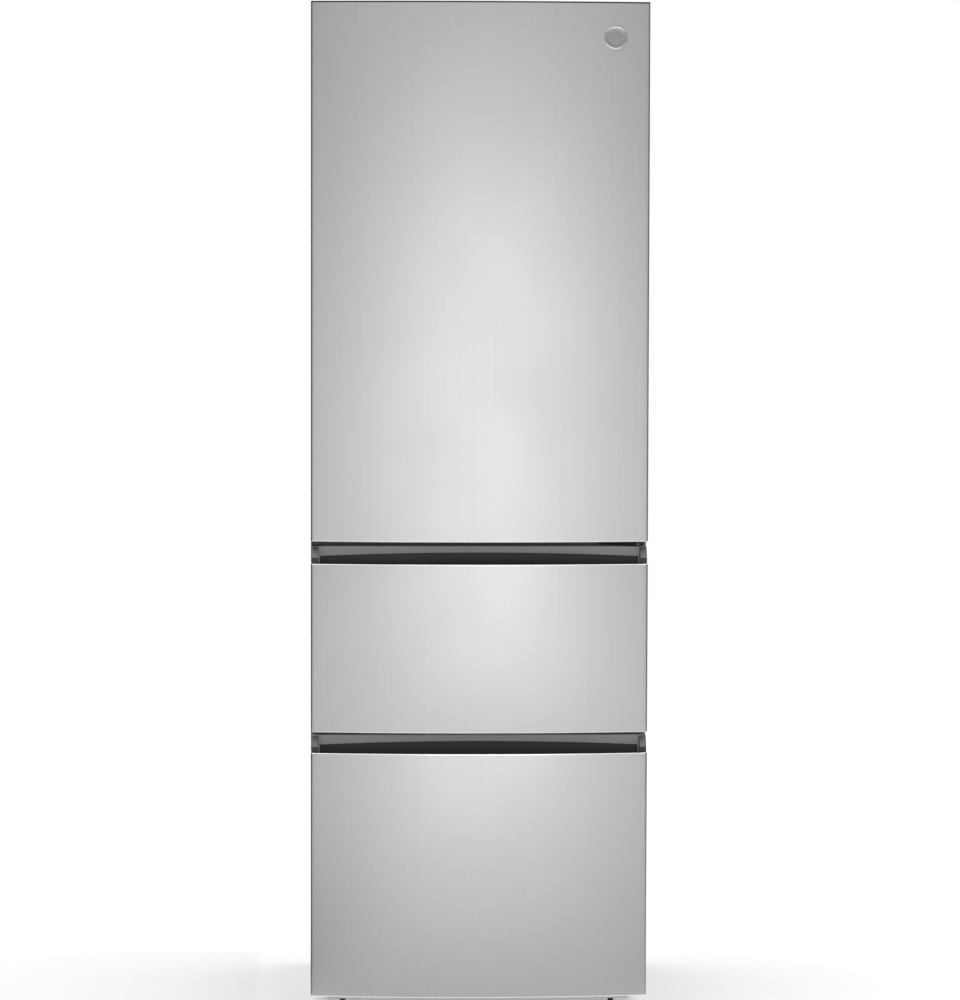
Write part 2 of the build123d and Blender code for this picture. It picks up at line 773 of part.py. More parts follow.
def door_liner():
    """Inner door panel with its raised frame and the lugs that carry the bins."""
    plate_half = half_width - door_liner_margin
    z0 = upper_z0 + door_liner_margin
    z1 = upper_z1 - cap_depth - fit_gap
    liner = block(-plate_half, plate_half, pan_rear_y, front_back_y, z0, z1)
    outer_half, dyke_z0, dyke_z1 = dyke_limits()
    inner_half = outer_half - dyke_width
    dyke_y1 = front_back_y + dyke_depth
    dyke = block(-outer_half, outer_half, front_back_y, dyke_y1, dyke_z0, dyke_z1)
    dyke = fillet(dyke.faces().sort_by(Axis.Y)[-1].edges(), dyke_width / 4)
    border = dyke_width / 2
    dyke -= block(-inner_half, inner_half, front_back_y - 1, dyke_y1 + 1, dyke_z0 + border, dyke_z1 - border)
    liner += dyke
    for level in bin_levels()[1:]:
        lug = block(
            inner_half - bin_lug_width,
            inner_half,
            front_back_y,
            front_back_y + bin_lug_depth,
            level - bin_lug_height,
            level,
        )
        for side in both_sides(lug):
            liner += side
    y, z = lid_axis()
    bore = lid_pin_radius + lid_pin_clearance
    reach = inner_half + lid_pin_reach + bin_clearance
    return liner - rod(bore, (-reach, y, z), (reach, y, z))


def door_bins():
    """Open bins between the sides of the raised frame, the top one for dairy."""
    outer_half = dyke_limits()[0]
    half = outer_half - dyke_width - bin_clearance
    y0 = front_back_y + bin_clearance
    y1 = front_back_y + bin_depth
    bins = []
    for level, height in zip(bin_levels(), bin_heights):
        bins.append(open_box(-half, half, y0, y1, level, level + height, bin_wall, bin_corner_radius))
    return bins


def dairy_lid():
    """Flap over the top bin, with a rolled hinge edge next to the door."""
    inner_half = dyke_limits()[0] - dyke_width
    half = inner_half - bin_clearance
    y, z = lid_axis()
    y1 = front_back_y + bin_depth + lid_pin_radius
    flap = block(-half, half, y, y1, z - lid_thickness / 2, z + lid_thickness / 2)
    flap += block(-half / 4, half / 4, y1 - lid_thickness, y1, z - lid_pin_radius, z)
    pin_half = inner_half + lid_pin_reach
    return flap + rod(lid_pin_radius, (-pin_half, y, z), (pin_half, y, z))


def upper_door():
    """Every fixed piece of the door."""
    skin = steel_pan(upper_z0, upper_z1 - cap_flange, closed_top=False) - hinge_pocket()
    hole_top = upper_z0 + bushing_length
    hole_start = (pivot_x, pivot_y, upper_z0 - 1)
    skin -= rod(bushing_radius + fit_gap, hole_start, (pivot_x, pivot_y, hole_top))

    inside = sheet + fit_gap
    cap = prism(bowed_outline(0, front_back_y, steel_corner_radius), upper_z1 - cap_flange, upper_z1)
    cap_plan = bowed_outline(inside, front_back_y, steel_corner_radius - inside)
    cap += prism(cap_plan, upper_z1 - cap_depth, upper_z1 - cap_flange)
    cap -= hinge_pocket()
    upper_bush_z0 = pocket_floor_z - bushing_length
    upper_seat = rod(
        bushing_radius, (pivot_x, pivot_y, upper_bush_z0), (pivot_x, pivot_y, pocket_floor_z + 1)
    )
    cap -= upper_seat

    foam = core_block(upper_z0, upper_z1 - cap_depth)
    foam -= rod(bushing_radius, hole_start, (pivot_x, pivot_y, hole_top))

    bushings = []
    for z0 in (upper_z0, upper_bush_z0):
        z1 = z0 + bushing_length
        bush = rod(bushing_radius, (pivot_x, pivot_y, z0), (pivot_x, pivot_y, z1))
        bush -= rod(
            hinge_pin_radius + pin_clearance, (pivot_x, pivot_y, z0 - 1), (pivot_x, pivot_y, z1 + 1)
        )
        bushings.append(bush)
    return {
        "door_skin": [skin],
        "door_top_cap": [cap],
        "door_foam": [foam],
        "door_liner": [door_liner()],
        "door_seal": [seal_ring(fresh_z0, fresh_z1)],
        "door_bins": door_bins(),
        "hinge_bushings": bushings,
        "badge_disc": [badge()],
    }


def badge():
    """Blank round badge with a raised rim, on the bowed steel."""
    x = half_width - badge_from_side
    z = upper_z1 - badge_from_top
    lean = math.asin(x / bow_radius)
    outward = (math.sin(lean), -math.cos(lean), 0)
    face = Plane(origin=(x, bow_y(x), z), x_dir=(math.cos(lean), math.sin(lean), 0), z_dir=outward)
    disc = extrude(face * Circle(badge_radius), amount=badge_thickness)
    disc += extrude(face * Circle(badge_radius), amount=-sheet / 2)
    recess = Plane(origin=face.origin + face.z_dir * (badge_thickness - badge_rim_height), z_dir=outward)
    disc -= extrude(recess * Circle(badge_radius - badge_rim), amount=badge_thickness)
    steel = prism(bowed_outline(0, pan_rear_y), z - 2 * badge_radius, z + 2 * badge_radius)
    return disc - steel


# ---------------------------------------------------------------- fresh food fittings
def shelf_pieces():
    """Glass plates and the trims on their front and back edges."""
    half = cavity_half - shelf_side_gap
    glass = []
    trims = []
    for level in shelf_levels():
        plate = block(-half, half, shelf_front_y, shelf_back_y, level, level + shelf_thickness)
        glass.append(plate)
        drop = cover_trim_height - trim_height if level == crisper_cover_level() else 0.0
        z1 = level + (trim_height + shelf_thickness) / 2
        z0 = z1 - trim_height - drop
        front_y = shelf_front_y + trim_bite
        rear_y = shelf_back_y - trim_bite
        front = block(-half, half, front_y - trim_depth, front_y, z0, z1)
        rear = block(-half, half, rear_y, rear_y + trim_depth, level, z1 + trim_height)
        if drop:
            front -= slider_groove_cut(level)
        trims.extend([front - plate, rear - plate])
    return glass, trims


def slider_levels(level):
    """Lower and upper level of the humidity slider's groove."""
    z1 = level - slider_clearance
    return z1 - slider_height - 2 * slider_clearance, z1


def slider_groove_cut(level):
    """Groove in the crisper cover's front trim."""
    z0, z1 = slider_levels(level)
    y0 = shelf_front_y - trim_depth + trim_bite
    x0 = -slider_length / 2 - slider_clearance
    x1 = x0 + slider_length + slider_travel + 2 * slider_clearance
    return block(x0, x1, y0 - 1, y0 + slider_groove + slider_clearance, z0, z1)


def humidity_slider():
    """Knob that slides along the groove."""
    z0, z1 = slider_levels(crisper_cover_level())
    y0 = shelf_front_y - trim_depth + trim_bite
    half = slider_length / 2
    knob = block(
        -half, half, y0 - slider_reach, y0 + slider_groove, z0 + slider_clearance, z1 - slider_clearance
    )
    return fillet(knob.faces().sort_by(Axis.Y)[0].edges(), slider_groove / 3)


def crisper():
    """Wide vegetable drawer on the liner's runners."""
    half = cavity_half - crisper_side_gap
    y0 = shelf_front_y + crisper_setback
    y1 = cavity_back_y - crisper_back_gap
    z0 = fresh_z0 + crisper_runner
    z1 = z0 + crisper_height
    box = open_box(-half, half, y0, y1, z0, z1, crisper_wall, crisper_corner_radius)
    pull_z0 = z1 - 2 * crisper_wall
    pull = block(-half / 2, half / 2, y0 - crisper_pull_reach, y0, pull_z0, pull_z0 + crisper_wall)
    return box + pull


def air_duct():
    """Raised air duct on the compartment's back wall, with rows of outlets."""
    duct_bottom = crisper_cover_level() + duct_rise
    duct_top = fresh_z1 - duct_drop
    front_y = cavity_back_y - duct_depth
    panel = block(-duct_width / 2, duct_width / 2, front_y, cavity_back_y, duct_bottom, duct_top)
    panel = fillet(panel.edges().filter_by(Axis.Z).sort_by(Axis.Y)[0:2], duct_depth / 2)
    pitch = (duct_top - duct_bottom) / (vent_rows + 1)
    for row in range(1, vent_rows + 1):
        z = duct_bottom + row * pitch
        for x in (-duct_width / 4, duct_width / 4):
            panel -= block(
                x - vent_length / 2,
                x + vent_length / 2,
                front_y - 1,
                front_y + vent_depth,
                z - vent_height / 2,
                z + vent_height / 2,
            )
    return panel


def button_axis(side):
    """X and Z of a button's centre; side is -1 or 1."""
    return side * button_spacing / 2, fresh_z1 - panel_height / 2


def control_panel():
    """Control housing under the ceiling, with two button wells in its front."""
    y0 = face_y + panel_setback
    panel = block(-panel_width / 2, panel_width / 2, y0, y0 + panel_depth, fresh_z1 - panel_height, fresh_z1)
    panel = fillet(panel.edges().filter_by(Axis.X).sort_by(Axis.Z)[0:2], panel_height / 6)
    for side in (-1, 1):
        x, z = button_axis(side)
        depth = button_length - button_reach + button_travel + button_clearance
        panel -= rod(button_radius + button_clearance, (x, y0 - 1, z), (x, y0 + depth, z))
    return panel


def control_button(side):
    """Round push button."""
    x, z = button_axis(side)
    y0 = face_y + panel_setback - button_reach
    cap = rod(button_radius, (x, y0, z), (x, y0 + button_length, z))
    return fillet(cap.edges().sort_by(Axis.Y)[0], button_reach / 3)


def light_lens():
    """Ceiling light cover."""
    y0 = face_y + lens_setback
    lens = block(-lens_width / 2, lens_width / 2, y0, y0 + lens_depth, fresh_z1 - lens_height, fresh_z1)
    return fillet(lens.faces().sort_by(Axis.Z)[0].edges(), lens_height / 3)


# ---------------------------------------------------------------- freezer fittings
def fan_rotor(radius, depth):
    """Axial fan about Z, centred, with a bore for its shaft: a hub and flat blades set at an angle."""
    rotor = Cylinder(fan_hub_radius, depth)
    blade_length = radius - fan_hub_radius + fan_blade_thickness
    for i in range(fan_blade_count):
        turn = 360 * i / fan_blade_count
        middle = fan_hub_radius - fan_blade_thickness + blade_length / 2
        blade = Box(blade_length, radius / 2, fan_blade_thickness)
        rotor += Rot(0, 0, turn) * Pos(middle, 0, 0) * Rot(fan_blade_angle, 0, 0) * blade
    rotor &= Cylinder(radius, depth)
    return rotor - Cylinder(shaft_radius + shaft_clearance, 2 * depth)


freezer_fan_level = freezer_z1 - freezer_fan_drop
freezer_fan_y = cavity_back_y - evaporator_cover_gap + evaporator_cover_thickness + fan_clearance
freezer_fan_y += freezer_fan_depth / 2


def freezer_fan():
    """Fan that blows the evaporator's air through the cover."""
    rotor = Rot(90, 0, 0) * fan_rotor(freezer_fan_radius, freezer_fan_depth)
    return Pos(0, freezer_fan_y, freezer_fan_level) * rotor


def freezer_fan_motor():
    """Motor on the back wall with the fan's shaft."""
    y0 = freezer_fan_y + freezer_fan_depth / 2 + 1
    motor = rod(motor_radius, (0, y0, freezer_fan_level), (0, cavity_back_y, freezer_fan_level))
    shaft_y = freezer_fan_y - freezer_fan_depth / 2
    return motor + rod(shaft_radius, (0, shaft_y, freezer_fan_level), (0, y0, freezer_fan_level))


def evaporator():
    """Finned evaporator: plates on three rows of tube."""
    y1 = cavity_back_y - fan_clearance
    y0 = y1 - evaporator_depth
    z0 = step_z + evaporator_rise
    half = cavity_half - evaporator_side_gap
    pitch = 2 * half / fin_count
    row_pitch = evaporator_height / coil_rows
    coil = None
    for row in range(coil_rows):
        z = z0 + row_pitch * (row + 0.5)
        y = (y0 + y1) / 2
        tube = rod(coil_tube_radius, (-half - pitch, y, z), (half + pitch, y, z))
        coil = tube if coil is None else coil + tube
    fins = None
    for i in range(fin_count + 1):
        x = -half + i * pitch
        fin = block(x - fin_thickness / 2, x + fin_thickness / 2, y0, y1, z0, z0 + evaporator_height)
        fins = fin if fins is None else fins + fin
    for end in (-half - pitch, half + pitch):
        coil += block(
            end - coil_tube_radius,
            end + coil_tube_radius,
            (y0 + y1) / 2 - coil_tube_radius,
            (y0 + y1) / 2 + coil_tube_radius,
            z0 + row_pitch / 2,
            z0 + evaporator_height - row_pitch / 2,
        )
    return coil + fins


def evaporator_cover():
    """Rear wall panel of the freezer, with the fan's opening and air slots."""
    y0 = evaporator_cover_y
    y1 = y0 + evaporator_cover_thickness
    half = cavity_half - fit_gap
    cover = block(-half, half, y0, y1, step_z + fit_gap, freezer_z1 - fit_gap)
    opening = freezer_fan_radius + fan_clearance
    half_bar = evaporator_cover_thickness / 2
    level = freezer_fan_level
    guard = rod(opening, (0, y0 - 1, level), (0, y1 + 1, level))
    for x in (-1, 1):
        bar_x = x * opening / 3
        guard -= block(bar_x - half_bar, bar_x + half_bar, y0 - 1, y1 + 1, level - opening, level + opening)
    guard -= block(-opening, opening, y0 - 1, y1 + 1, level - half_bar, level + half_bar)
    cover -= guard
    for x in (-3, -1, 1, 3):
        centre = x * half / 4
        cover -= block(
            centre - vent_length / 2,
            centre + vent_length / 2,
            y0 - 1,
            y1 + 1,
            step_z + 2 * vent_height,
            step_z + 3 * vent_height,
        )
    return cover


# ---------------------------------------------------------------- machine room
def machine_room():
    """Compressor on its grommets, condenser coil, fan, drip pan and the rear cover."""
    centre_y = (machine_y + back_y) / 2
    plate_z0 = base_z1 + grommet_height
    plate_z1 = plate_z0 + compressor_plate
    shell = Pos(compressor_x, centre_y, plate_z1) * Ellipse(compressor_length / 2, compressor_width / 2)
    pot = extrude(shell, amount=compressor_height)
    pot = fillet(pot.edges().sort_by(Axis.Z)[-1], compressor_shoulder)
    seam_z = plate_z1 + compressor_height / 2
    seam = Ellipse(
        compressor_length / 2 + compressor_seam_reach, compressor_width / 2 + compressor_seam_reach
    )
    pot += extrude(Pos(compressor_x, centre_y, seam_z) * seam, amount=compressor_plate)
    half_l = compressor_plate_length / 2
    half_w = compressor_plate_width / 2
    pot += block(
        compressor_x - half_l, compressor_x + half_l, centre_y - half_w, centre_y + half_w, plate_z0, plate_z1
    )
    compressor = [pot]
    for dx in (-1, 1):
        for dy in (-1, 1):
            x = compressor_x + dx * (half_l - grommet_radius)
            y = centre_y + dy * (half_w - grommet_radius)
            compressor.append(rod(grommet_radius, (x, y, base_z1), (x, y, plate_z0)))

    pan_z0 = plate_z1 + compressor_height + pan_gap
    pan = open_box(
        compressor_x - compressor_length / 2,
        compressor_x + compressor_length / 2,
        centre_y - compressor_width / 2,
        centre_y + compressor_width / 2,
        pan_z0,
        pan_z0 + pan_height,
        pan_wall,
        compressor_shoulder / 4,
    )
    feet_x = compressor_length / 2 - compressor_shoulder / 2
    for dx in (-feet_x, feet_x):
        x = compressor_x + dx
        y0 = centre_y + compressor_width / 2
        hanger = block(x - spoke_width, x + spoke_width, y0, back_y - sheet, pan_z0, pan_z0 + pan_wall)
        pan += hanger
    return compressor, pan


def condenser():
    """Serpentine condenser tube standing beside the fan."""
    condenser_x = condenser_from_side - half_width
    y0 = machine_y + condenser_margin
    y1 = back_y - sheet - condenser_margin
    z0 = base_z1 + condenser_margin
    points = []
    for run in range(condenser_runs):
        z = z0 + run * condenser_pitch
        ends = (y0, y1) if run % 2 == 0 else (y1, y0)
        points.extend([(condenser_x, ends[0], z), (condenser_x, ends[1], z)])
    path = FilletPolyline(*points, radius=condenser_pitch / 2 - 0.01)
    start = Plane(origin=path @ 0, z_dir=path % 0)
    coil = sweep(start * Circle(condenser_tube_radius), path=path)
    brackets = []
    for y in (y0 + condenser_margin, y1 - condenser_margin):
        top = z0 + (condenser_runs - 1) * condenser_pitch
        strip = block(
            condenser_x - condenser_tube_radius - rail_sheet,
            condenser_x - condenser_tube_radius,
            y - spoke_width,
            y + spoke_width,
            base_z1,
            top,
        )
        brackets.append(strip)
    return [coil] + brackets


machine_fan_z = base_z1 + shroud_size / 2


def machine_fan():
    """Fan that draws air over the condenser and blows it at the compressor."""
    centre_y = (machine_y + back_y) / 2
    rotor = Rot(0, 90, 0) * fan_rotor(machine_fan_radius, machine_fan_depth)
    return Pos(machine_fan_x, centre_y, machine_fan_z) * rotor


def machine_fan_motor():
    """Square shroud, spokes and motor of the machine room's fan."""
    centre_y = (machine_y + back_y) / 2
    half = shroud_size / 2
    x1 = machine_fan_x - machine_fan_depth / 2 - fan_clearance
    x0 = x1 - shroud_thickness
    z = machine_fan_z
    shroud = block(x0, x1, centre_y - half, centre_y + half, base_z1, base_z1 + shroud_size)
    shroud -= rod(machine_fan_radius + fan_clearance, (x0 - 1, centre_y, z), (x1 + 1, centre_y, z))
    shroud += block(x0, x1, centre_y - spoke_width / 2, centre_y + spoke_width / 2, base_z1, z + half)
    shroud += block(x0, x1, centre_y - half, centre_y + half, z - spoke_width / 2, z + spoke_width / 2)
    shroud += rod(motor_radius, (x0 - motor_radius, centre_y, z), (x1, centre_y, z))
    shaft_end = machine_fan_x + machine_fan_depth / 2
    return shroud + rod(shaft_radius, (x1, centre_y, z), (shaft_end, centre_y, z))


def cover_spots():
    """X and Z of the rear cover's screws."""
    half = half_width - 2 * cover_margin
    low = base_height + 1.5 * cover_margin
    high = machine_z1 + cover_margin / 2
    return [(-half, low), (0, low), (half, low), (-half, high), (0, high), (half, high)]


def rear_pieces():
    """Louvred machine room cover, its screws, the wall spacers and the mains lead's empty gland."""
    y1 = back_y + cover_thickness
    half = half_width - cover_margin
    cover = block(-half, half, back_y, y1, base_height + cover_margin, machine_z1 + cover_margin)
    middle_z = (base_height + machine_z1) / 2 + louvre_pitch_z / 2
    for row in range(louvre_rows):
        z = middle_z + (row - (louvre_rows - 1) / 2) * louvre_pitch_z
        for column in range(louvre_columns):
            x = (column - (louvre_columns - 1) / 2) * louvre_pitch_x
            slot = SlotOverall(louvre_length, louvre_height)
            cut = extrude(Plane.XZ * slot, amount=3 * cover_thickness, both=True)
            cover -= Pos(x, back_y, z) * cut
    screws = []
    for x, z in cover_spots():
        screws.append(rod(screw_head_radius, (x, y1, z), (x, y1 + screw_head_height, z)))
    spacer_x = half_width - spacer_from_side
    spacer_z1 = shell_z1 - spacer_from_top
    spacer_y1 = back_y + rear_stand_off
    spacer_z0 = spacer_z1 - spacer_height
    spacer = block(spacer_x - spacer_width, spacer_x, back_y, spacer_y1, spacer_z0, spacer_z1)
    spacer = fillet(spacer.faces().sort_by(Axis.Y)[-1].edges(), rear_stand_off / 4)
    gland_x = half_width - gland_from_side
    gland_z = base_height + gland_rise
    gland_y1 = back_y + rear_stand_off - fit_gap
    gland = rod(gland_radius, (gland_x, y1, gland_z), (gland_x, gland_y1, gland_z))
    gland -= rod(gland_bore_radius, (gland_x, y1 - 1, gland_z), (gland_x, gland_y1 + 1, gland_z))
    return cover, screws, both_sides(spacer) + [gland]


# ---------------------------------------------------------------- feet and rollers
foot_x = half_width - foot_from_side
foot_y = face_y + foot_setback
roller_x = half_width - roller_from_side
roller_y = back_y - roller_from_back


def front_foot():
    """Levelling foot of the right side: pad, hexagon and stud."""
    foot = rod(foot_pad_radius, (foot_x, foot_y, 0), (foot_x, foot_y, foot_pad_height))
    foot = fillet(foot.edges().sort_by(Axis.Z)[-1], foot_pad_height / 3)
    hexagon = RegularPolygon(foot_hex_radius, 6)
    foot += extrude(Pos(foot_x, foot_y, foot_pad_height) * hexagon, amount=foot_hex_height)
    return foot + rod(foot_stud_radius, (foot_x, foot_y, foot_pad_height), (foot_x, foot_y, foot_stud_top))


def foot_bracket():
    """Folded bracket under the base plate that the foot's stud screws through."""
    half_w = foot_bracket_width / 2
    half_d = foot_bracket_depth / 2
    t = foot_bracket_sheet
    low = foot_plate_level
    bracket = block(foot_x - half_w, foot_x + half_w, foot_y - half_d, foot_y + half_d, low, base_height)
    inner_x0 = foot_x - half_w + t
    inner_x1 = foot_x + half_w - t
    bracket -= block(inner_x0, inner_x1, foot_y - half_d - 1, foot_y + half_d + 1, low + t, base_height + 1)
    bore = foot_stud_radius + foot_clearance
    return bracket - rod(bore, (foot_x, foot_y, low - 1), (foot_x, foot_y, low + t + 1))


def roller_bracket():
    """Two cheeks under the base plate that carry the roller axle."""
    cheeks = None
    inner = roller_width / 2 + roller_bracket_gap
    half_d = roller_bracket_depth / 2
    low = roller_radius - 2 * axle_radius
    for side in (-1, 1):
        x_mid = roller_x + side * (inner + roller_bracket_sheet / 2)
        x0 = x_mid - roller_bracket_sheet / 2
        cheek = block(x0, x0 + roller_bracket_sheet, roller_y - half_d, roller_y + half_d, low, base_height)
        cheeks = cheek if cheeks is None else cheeks + cheek
    reach = inner + roller_bracket_sheet
    t = roller_bracket_sheet / 2
    cheeks += block(
        roller_x - reach, roller_x + reach, roller_y - half_d, roller_y + half_d, base_height - t, base_height
    )
    bore = axle_radius + axle_clearance
    start = (roller_x - reach - 1, roller_y, roller_radius)
    end = (roller_x + reach + 1, roller_y, roller_radius)
    return cheeks - rod(bore, start, end)


def roller_set():
    """Both rear rollers on their long axle."""
    end = roller_x + roller_width / 2 + roller_bracket_gap + roller_bracket_sheet + axle_overhang
    axle = rod(axle_radius, (-end, roller_y, roller_radius), (end, roller_y, roller_radius))
    wheel = rod(
        roller_radius,
        (roller_x - roller_width / 2, roller_y, roller_radius),
        (roller_x + roller_width / 2, roller_y, roller_radius),
    )
    wheel = fillet(wheel.edges().filter_by(GeomType.CIRCLE), roller_edge_radius)
    return both_sides(wheel - axle) + [axle]


# ---------------------------------------------------------------- all pieces
def build():
    """Node name to its list of solids."""
    nodes = cabinet_shell()
    nodes["cabinet_foam"] = cabinet_foam()
    nodes["fresh_food_liner"] = [fresh_liner()]
    nodes["freezer_liner"] = [freezer_liner()]

    hinges, covers, hinge_screws = door_hinges()
    nodes["door_hinges"] = hinges
    nodes["hinge_covers"] = covers

    rear_cover, cover_screws, rear_fittings = rear_pieces()
    nodes["machine_room_cover"] = [rear_cover]
    nodes["cabinet_screws"] = hinge_screws + cover_screws
    nodes["rear_fittings"] = rear_fittings

    compressor, pan = machine_room()
    nodes["compressor"] = compressor
    nodes["evaporation_pan"] = [pan]
    nodes["condenser_coil"] = condenser()
    nodes["condenser_fan"] = [machine_fan()]
    nodes["evaporator_fan"] = [freezer_fan()]
    nodes["fan_motors"] = [machine_fan_motor(), freezer_fan_motor()]
    nodes["evaporator"] = [evaporator()]
    nodes["evaporator_cover"] = [evaporator_cover()]

    glass, trims = shelf_pieces()
    nodes["glass_shelves"] = glass
    nodes["shelf_trims"] = trims
    nodes["crisper"] = [crisper()]
    nodes["humidity_slider"] = [humidity_slider()]
    nodes["air_duct_panel"] = [air_duct()]
    nodes["control_panel"] = [control_panel()]
    nodes["fridge_button"] = [control_button(-1)]
    nodes["freezer_button"] = [control_button(1)]
    nodes["light_lens"] = [light_lens()]

    nodes.update(upper_door())
    nodes["dairy_lid"] = [dairy_lid()]

    middle_y1 = evaporator_cover_y - basket_back_gap
    slide_y1 = step_y - bottom_slide_back_gap
    basket_y1 = step_y - bottom_basket_back_gap
    drawers = (
        ("middle", middle_z0, middle_z1, beam_z1, freezer_z1, middle_slide_drop, middle_y1, middle_y1),
        ("bottom", bottom_z0, bottom_z1, freezer_z0, beam_z0, bottom_slide_drop, slide_y1, basket_y1),
    )
    fixed_slides = []
    for name, z0, z1, open_z0, open_z1, drop, slides_end, basket_end in drawers:
        for node, shape in drawer_front(name, z0, z1, open_z0, open_z1).items():
            nodes[node] = [shape]
        fixed, middle, bars, rest_z = slide_set(open_z1 - drop, slides_end)
        fixed_slides += fixed
        nodes[name + "_slide_members"] = middle
        nodes[name + "_drawer_bars"] = bars
        nodes[name + "_basket"] = [basket(open_z0 + basket_floor_gap, rest_z, basket_end)]
    nodes["fixed_slides"] = fixed_slides

    foot = front_foot()
    nodes["front_foot_right"] = [foot]
    nodes["front_foot_left"] = [mirror(foot, about=Plane.YZ)]
    nodes["base_brackets"] = both_sides(foot_bracket()) + both_sides(roller_bracket())
    nodes["rear_rollers"] = roller_set()
    return nodes


os.makedirs("parts", exist_ok=True)
for node_name, pieces in build().items():
    solids = [solid for piece in pieces for solid in piece.solids()]
    export_step(Compound(children=solids) if len(solids) > 1 else solids[0], f"parts/{node_name}.step")
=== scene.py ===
import json
import math

import bmesh
import bpy
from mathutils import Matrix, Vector

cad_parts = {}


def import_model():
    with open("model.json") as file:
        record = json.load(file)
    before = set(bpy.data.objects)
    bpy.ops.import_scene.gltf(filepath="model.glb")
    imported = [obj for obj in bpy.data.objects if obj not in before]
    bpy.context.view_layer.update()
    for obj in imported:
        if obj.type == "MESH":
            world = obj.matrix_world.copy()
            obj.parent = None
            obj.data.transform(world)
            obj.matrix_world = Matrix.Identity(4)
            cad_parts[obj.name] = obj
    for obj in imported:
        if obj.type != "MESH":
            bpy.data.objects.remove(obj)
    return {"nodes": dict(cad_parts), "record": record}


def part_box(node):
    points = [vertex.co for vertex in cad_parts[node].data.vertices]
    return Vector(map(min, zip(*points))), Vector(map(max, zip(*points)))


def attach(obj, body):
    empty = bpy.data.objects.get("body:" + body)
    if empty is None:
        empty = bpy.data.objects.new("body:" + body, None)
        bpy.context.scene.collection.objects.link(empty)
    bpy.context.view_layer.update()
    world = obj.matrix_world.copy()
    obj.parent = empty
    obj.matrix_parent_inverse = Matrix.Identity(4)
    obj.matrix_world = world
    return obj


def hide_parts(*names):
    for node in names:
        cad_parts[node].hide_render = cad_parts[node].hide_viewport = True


MM = 0.001  # one millimetre in metres

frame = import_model()
nodes = frame["nodes"]
scene = bpy.context.scene
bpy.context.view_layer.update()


# ---------------------------------------------------------------- camera
camera_data = bpy.data.cameras.new("camera")
camera = bpy.data.objects.new("camera", camera_data)
scene.collection.objects.link(camera)
scene.camera = camera
PICTURE_HEIGHT_PX = 1000.0
FOCAL_PX = 4563.0
LOOK_DOWN = 3.475  # degrees, as the next two
ROLL = -0.14
TURN = -1.780
camera_data.sensor_width = 36.0
camera_data.lens = FOCAL_PX * camera_data.sensor_width / PICTURE_HEIGHT_PX
camera_data.clip_end = 100.0
camera.location = (-0.25, -8.332, 1.409)
camera.rotation_euler = (math.radians(90.0 - LOOK_DOWN), math.radians(ROLL), math.radians(TURN))


# ---------------------------------------------------------------- material helpers
def principled(name, color, roughness, metallic=0.0, **values):
    """A material with one Principled shader; values are set on its own sockets."""
    mat = bpy.data.materials.new(name)
    mat.use_nodes = True
    bsdf = mat.node_tree.nodes["Principled BSDF"]
    bsdf.inputs["Base Color"].default_value = (*color, 1.0)
    bsdf.inputs["Roughness"].default_value = roughness
    bsdf.inputs["Metallic"].default_value = metallic
    for key, value in values.items():
        bsdf.inputs[key.replace("_", " ").title().replace("Ior", "IOR")].default_value = value
    return mat, bsdf


def add(mat, kind, **values):
    """A new node with its plain settings."""
    node = mat.node_tree.nodes.new(kind)
    for key, value in values.items():
        setattr(node, key, value)
    return node


def link(mat, output, socket):
    """Joins a node's output to another node's socket."""
    mat.node_tree.links.new(output, socket)


def noise(mat, scale, detail=3.0, stretch=(1.0, 1.0, 1.0), roughness=0.55):
    """Noise over object coordinates, drawn out by stretch."""
    coords = add(mat, "ShaderNodeTexCoord")
    mapping = add(mat, "ShaderNodeMapping")
    mapping.inputs["Scale"].default_value = stretch
    texture = add(mat, "ShaderNodeTexNoise")
    texture.inputs["Scale"].default_value = scale
    texture.inputs["Detail"].default_value = detail
    texture.inputs["Roughness"].default_value = roughness
    link(mat, coords.outputs["Object"], mapping.inputs["Vector"])
    link(mat, mapping.outputs["Vector"], texture.inputs["Vector"])
    return texture.outputs["Fac"]


def ranged(mat, factor, low, high, from_low=0.3, from_high=0.7):
    """Spreads a factor over low to high."""
    node = add(mat, "ShaderNodeMapRange")
    node.inputs["From Min"].default_value = from_low
    node.inputs["From Max"].default_value = from_high
    node.inputs["To Min"].default_value = low
    node.inputs["To Max"].default_value = high
    link(mat, factor, node.inputs["Value"])
    return node.outputs["Result"]


def mixed(mat, factor, color_a, color_b):
    """A colour between two, by a factor."""
    node = add(mat, "ShaderNodeMix", data_type="RGBA")
    node.inputs[6].default_value = (*color_a, 1.0)
    node.inputs[7].default_value = (*color_b, 1.0)
    link(mat, factor, node.inputs[0])
    return node.outputs[2]


def bumped(mat, bsdf, height, strength, distance):
    """Bump from a height."""
    node = add(mat, "ShaderNodeBump")
    node.inputs["Strength"].default_value = strength
    node.inputs["Distance"].default_value = distance
    link(mat, height, node.inputs["Height"])
    link(mat, node.outputs["Normal"], bsdf.inputs["Normal"])


def shade(color, factor):
    """A colour made lighter or darker."""
    return tuple(min(1.0, c * factor) for c in color)


def toned(mat, bsdf, factor, color, dark, light):
    """Base colour that a factor moves between a darker and a lighter shade."""
    link(mat, mixed(mat, factor, shade(color, dark), shade(color, light)), bsdf.inputs["Base Color"])


def cells(mat, scale, **values):
    """Cells over object coordinates."""
    texture = add(mat, "ShaderNodeTexVoronoi", **values)
    texture.inputs["Scale"].default_value = scale
    coords = add(mat, "ShaderNodeTexCoord")
    link(mat, coords.outputs["Object"], texture.inputs["Vector"])
    return texture


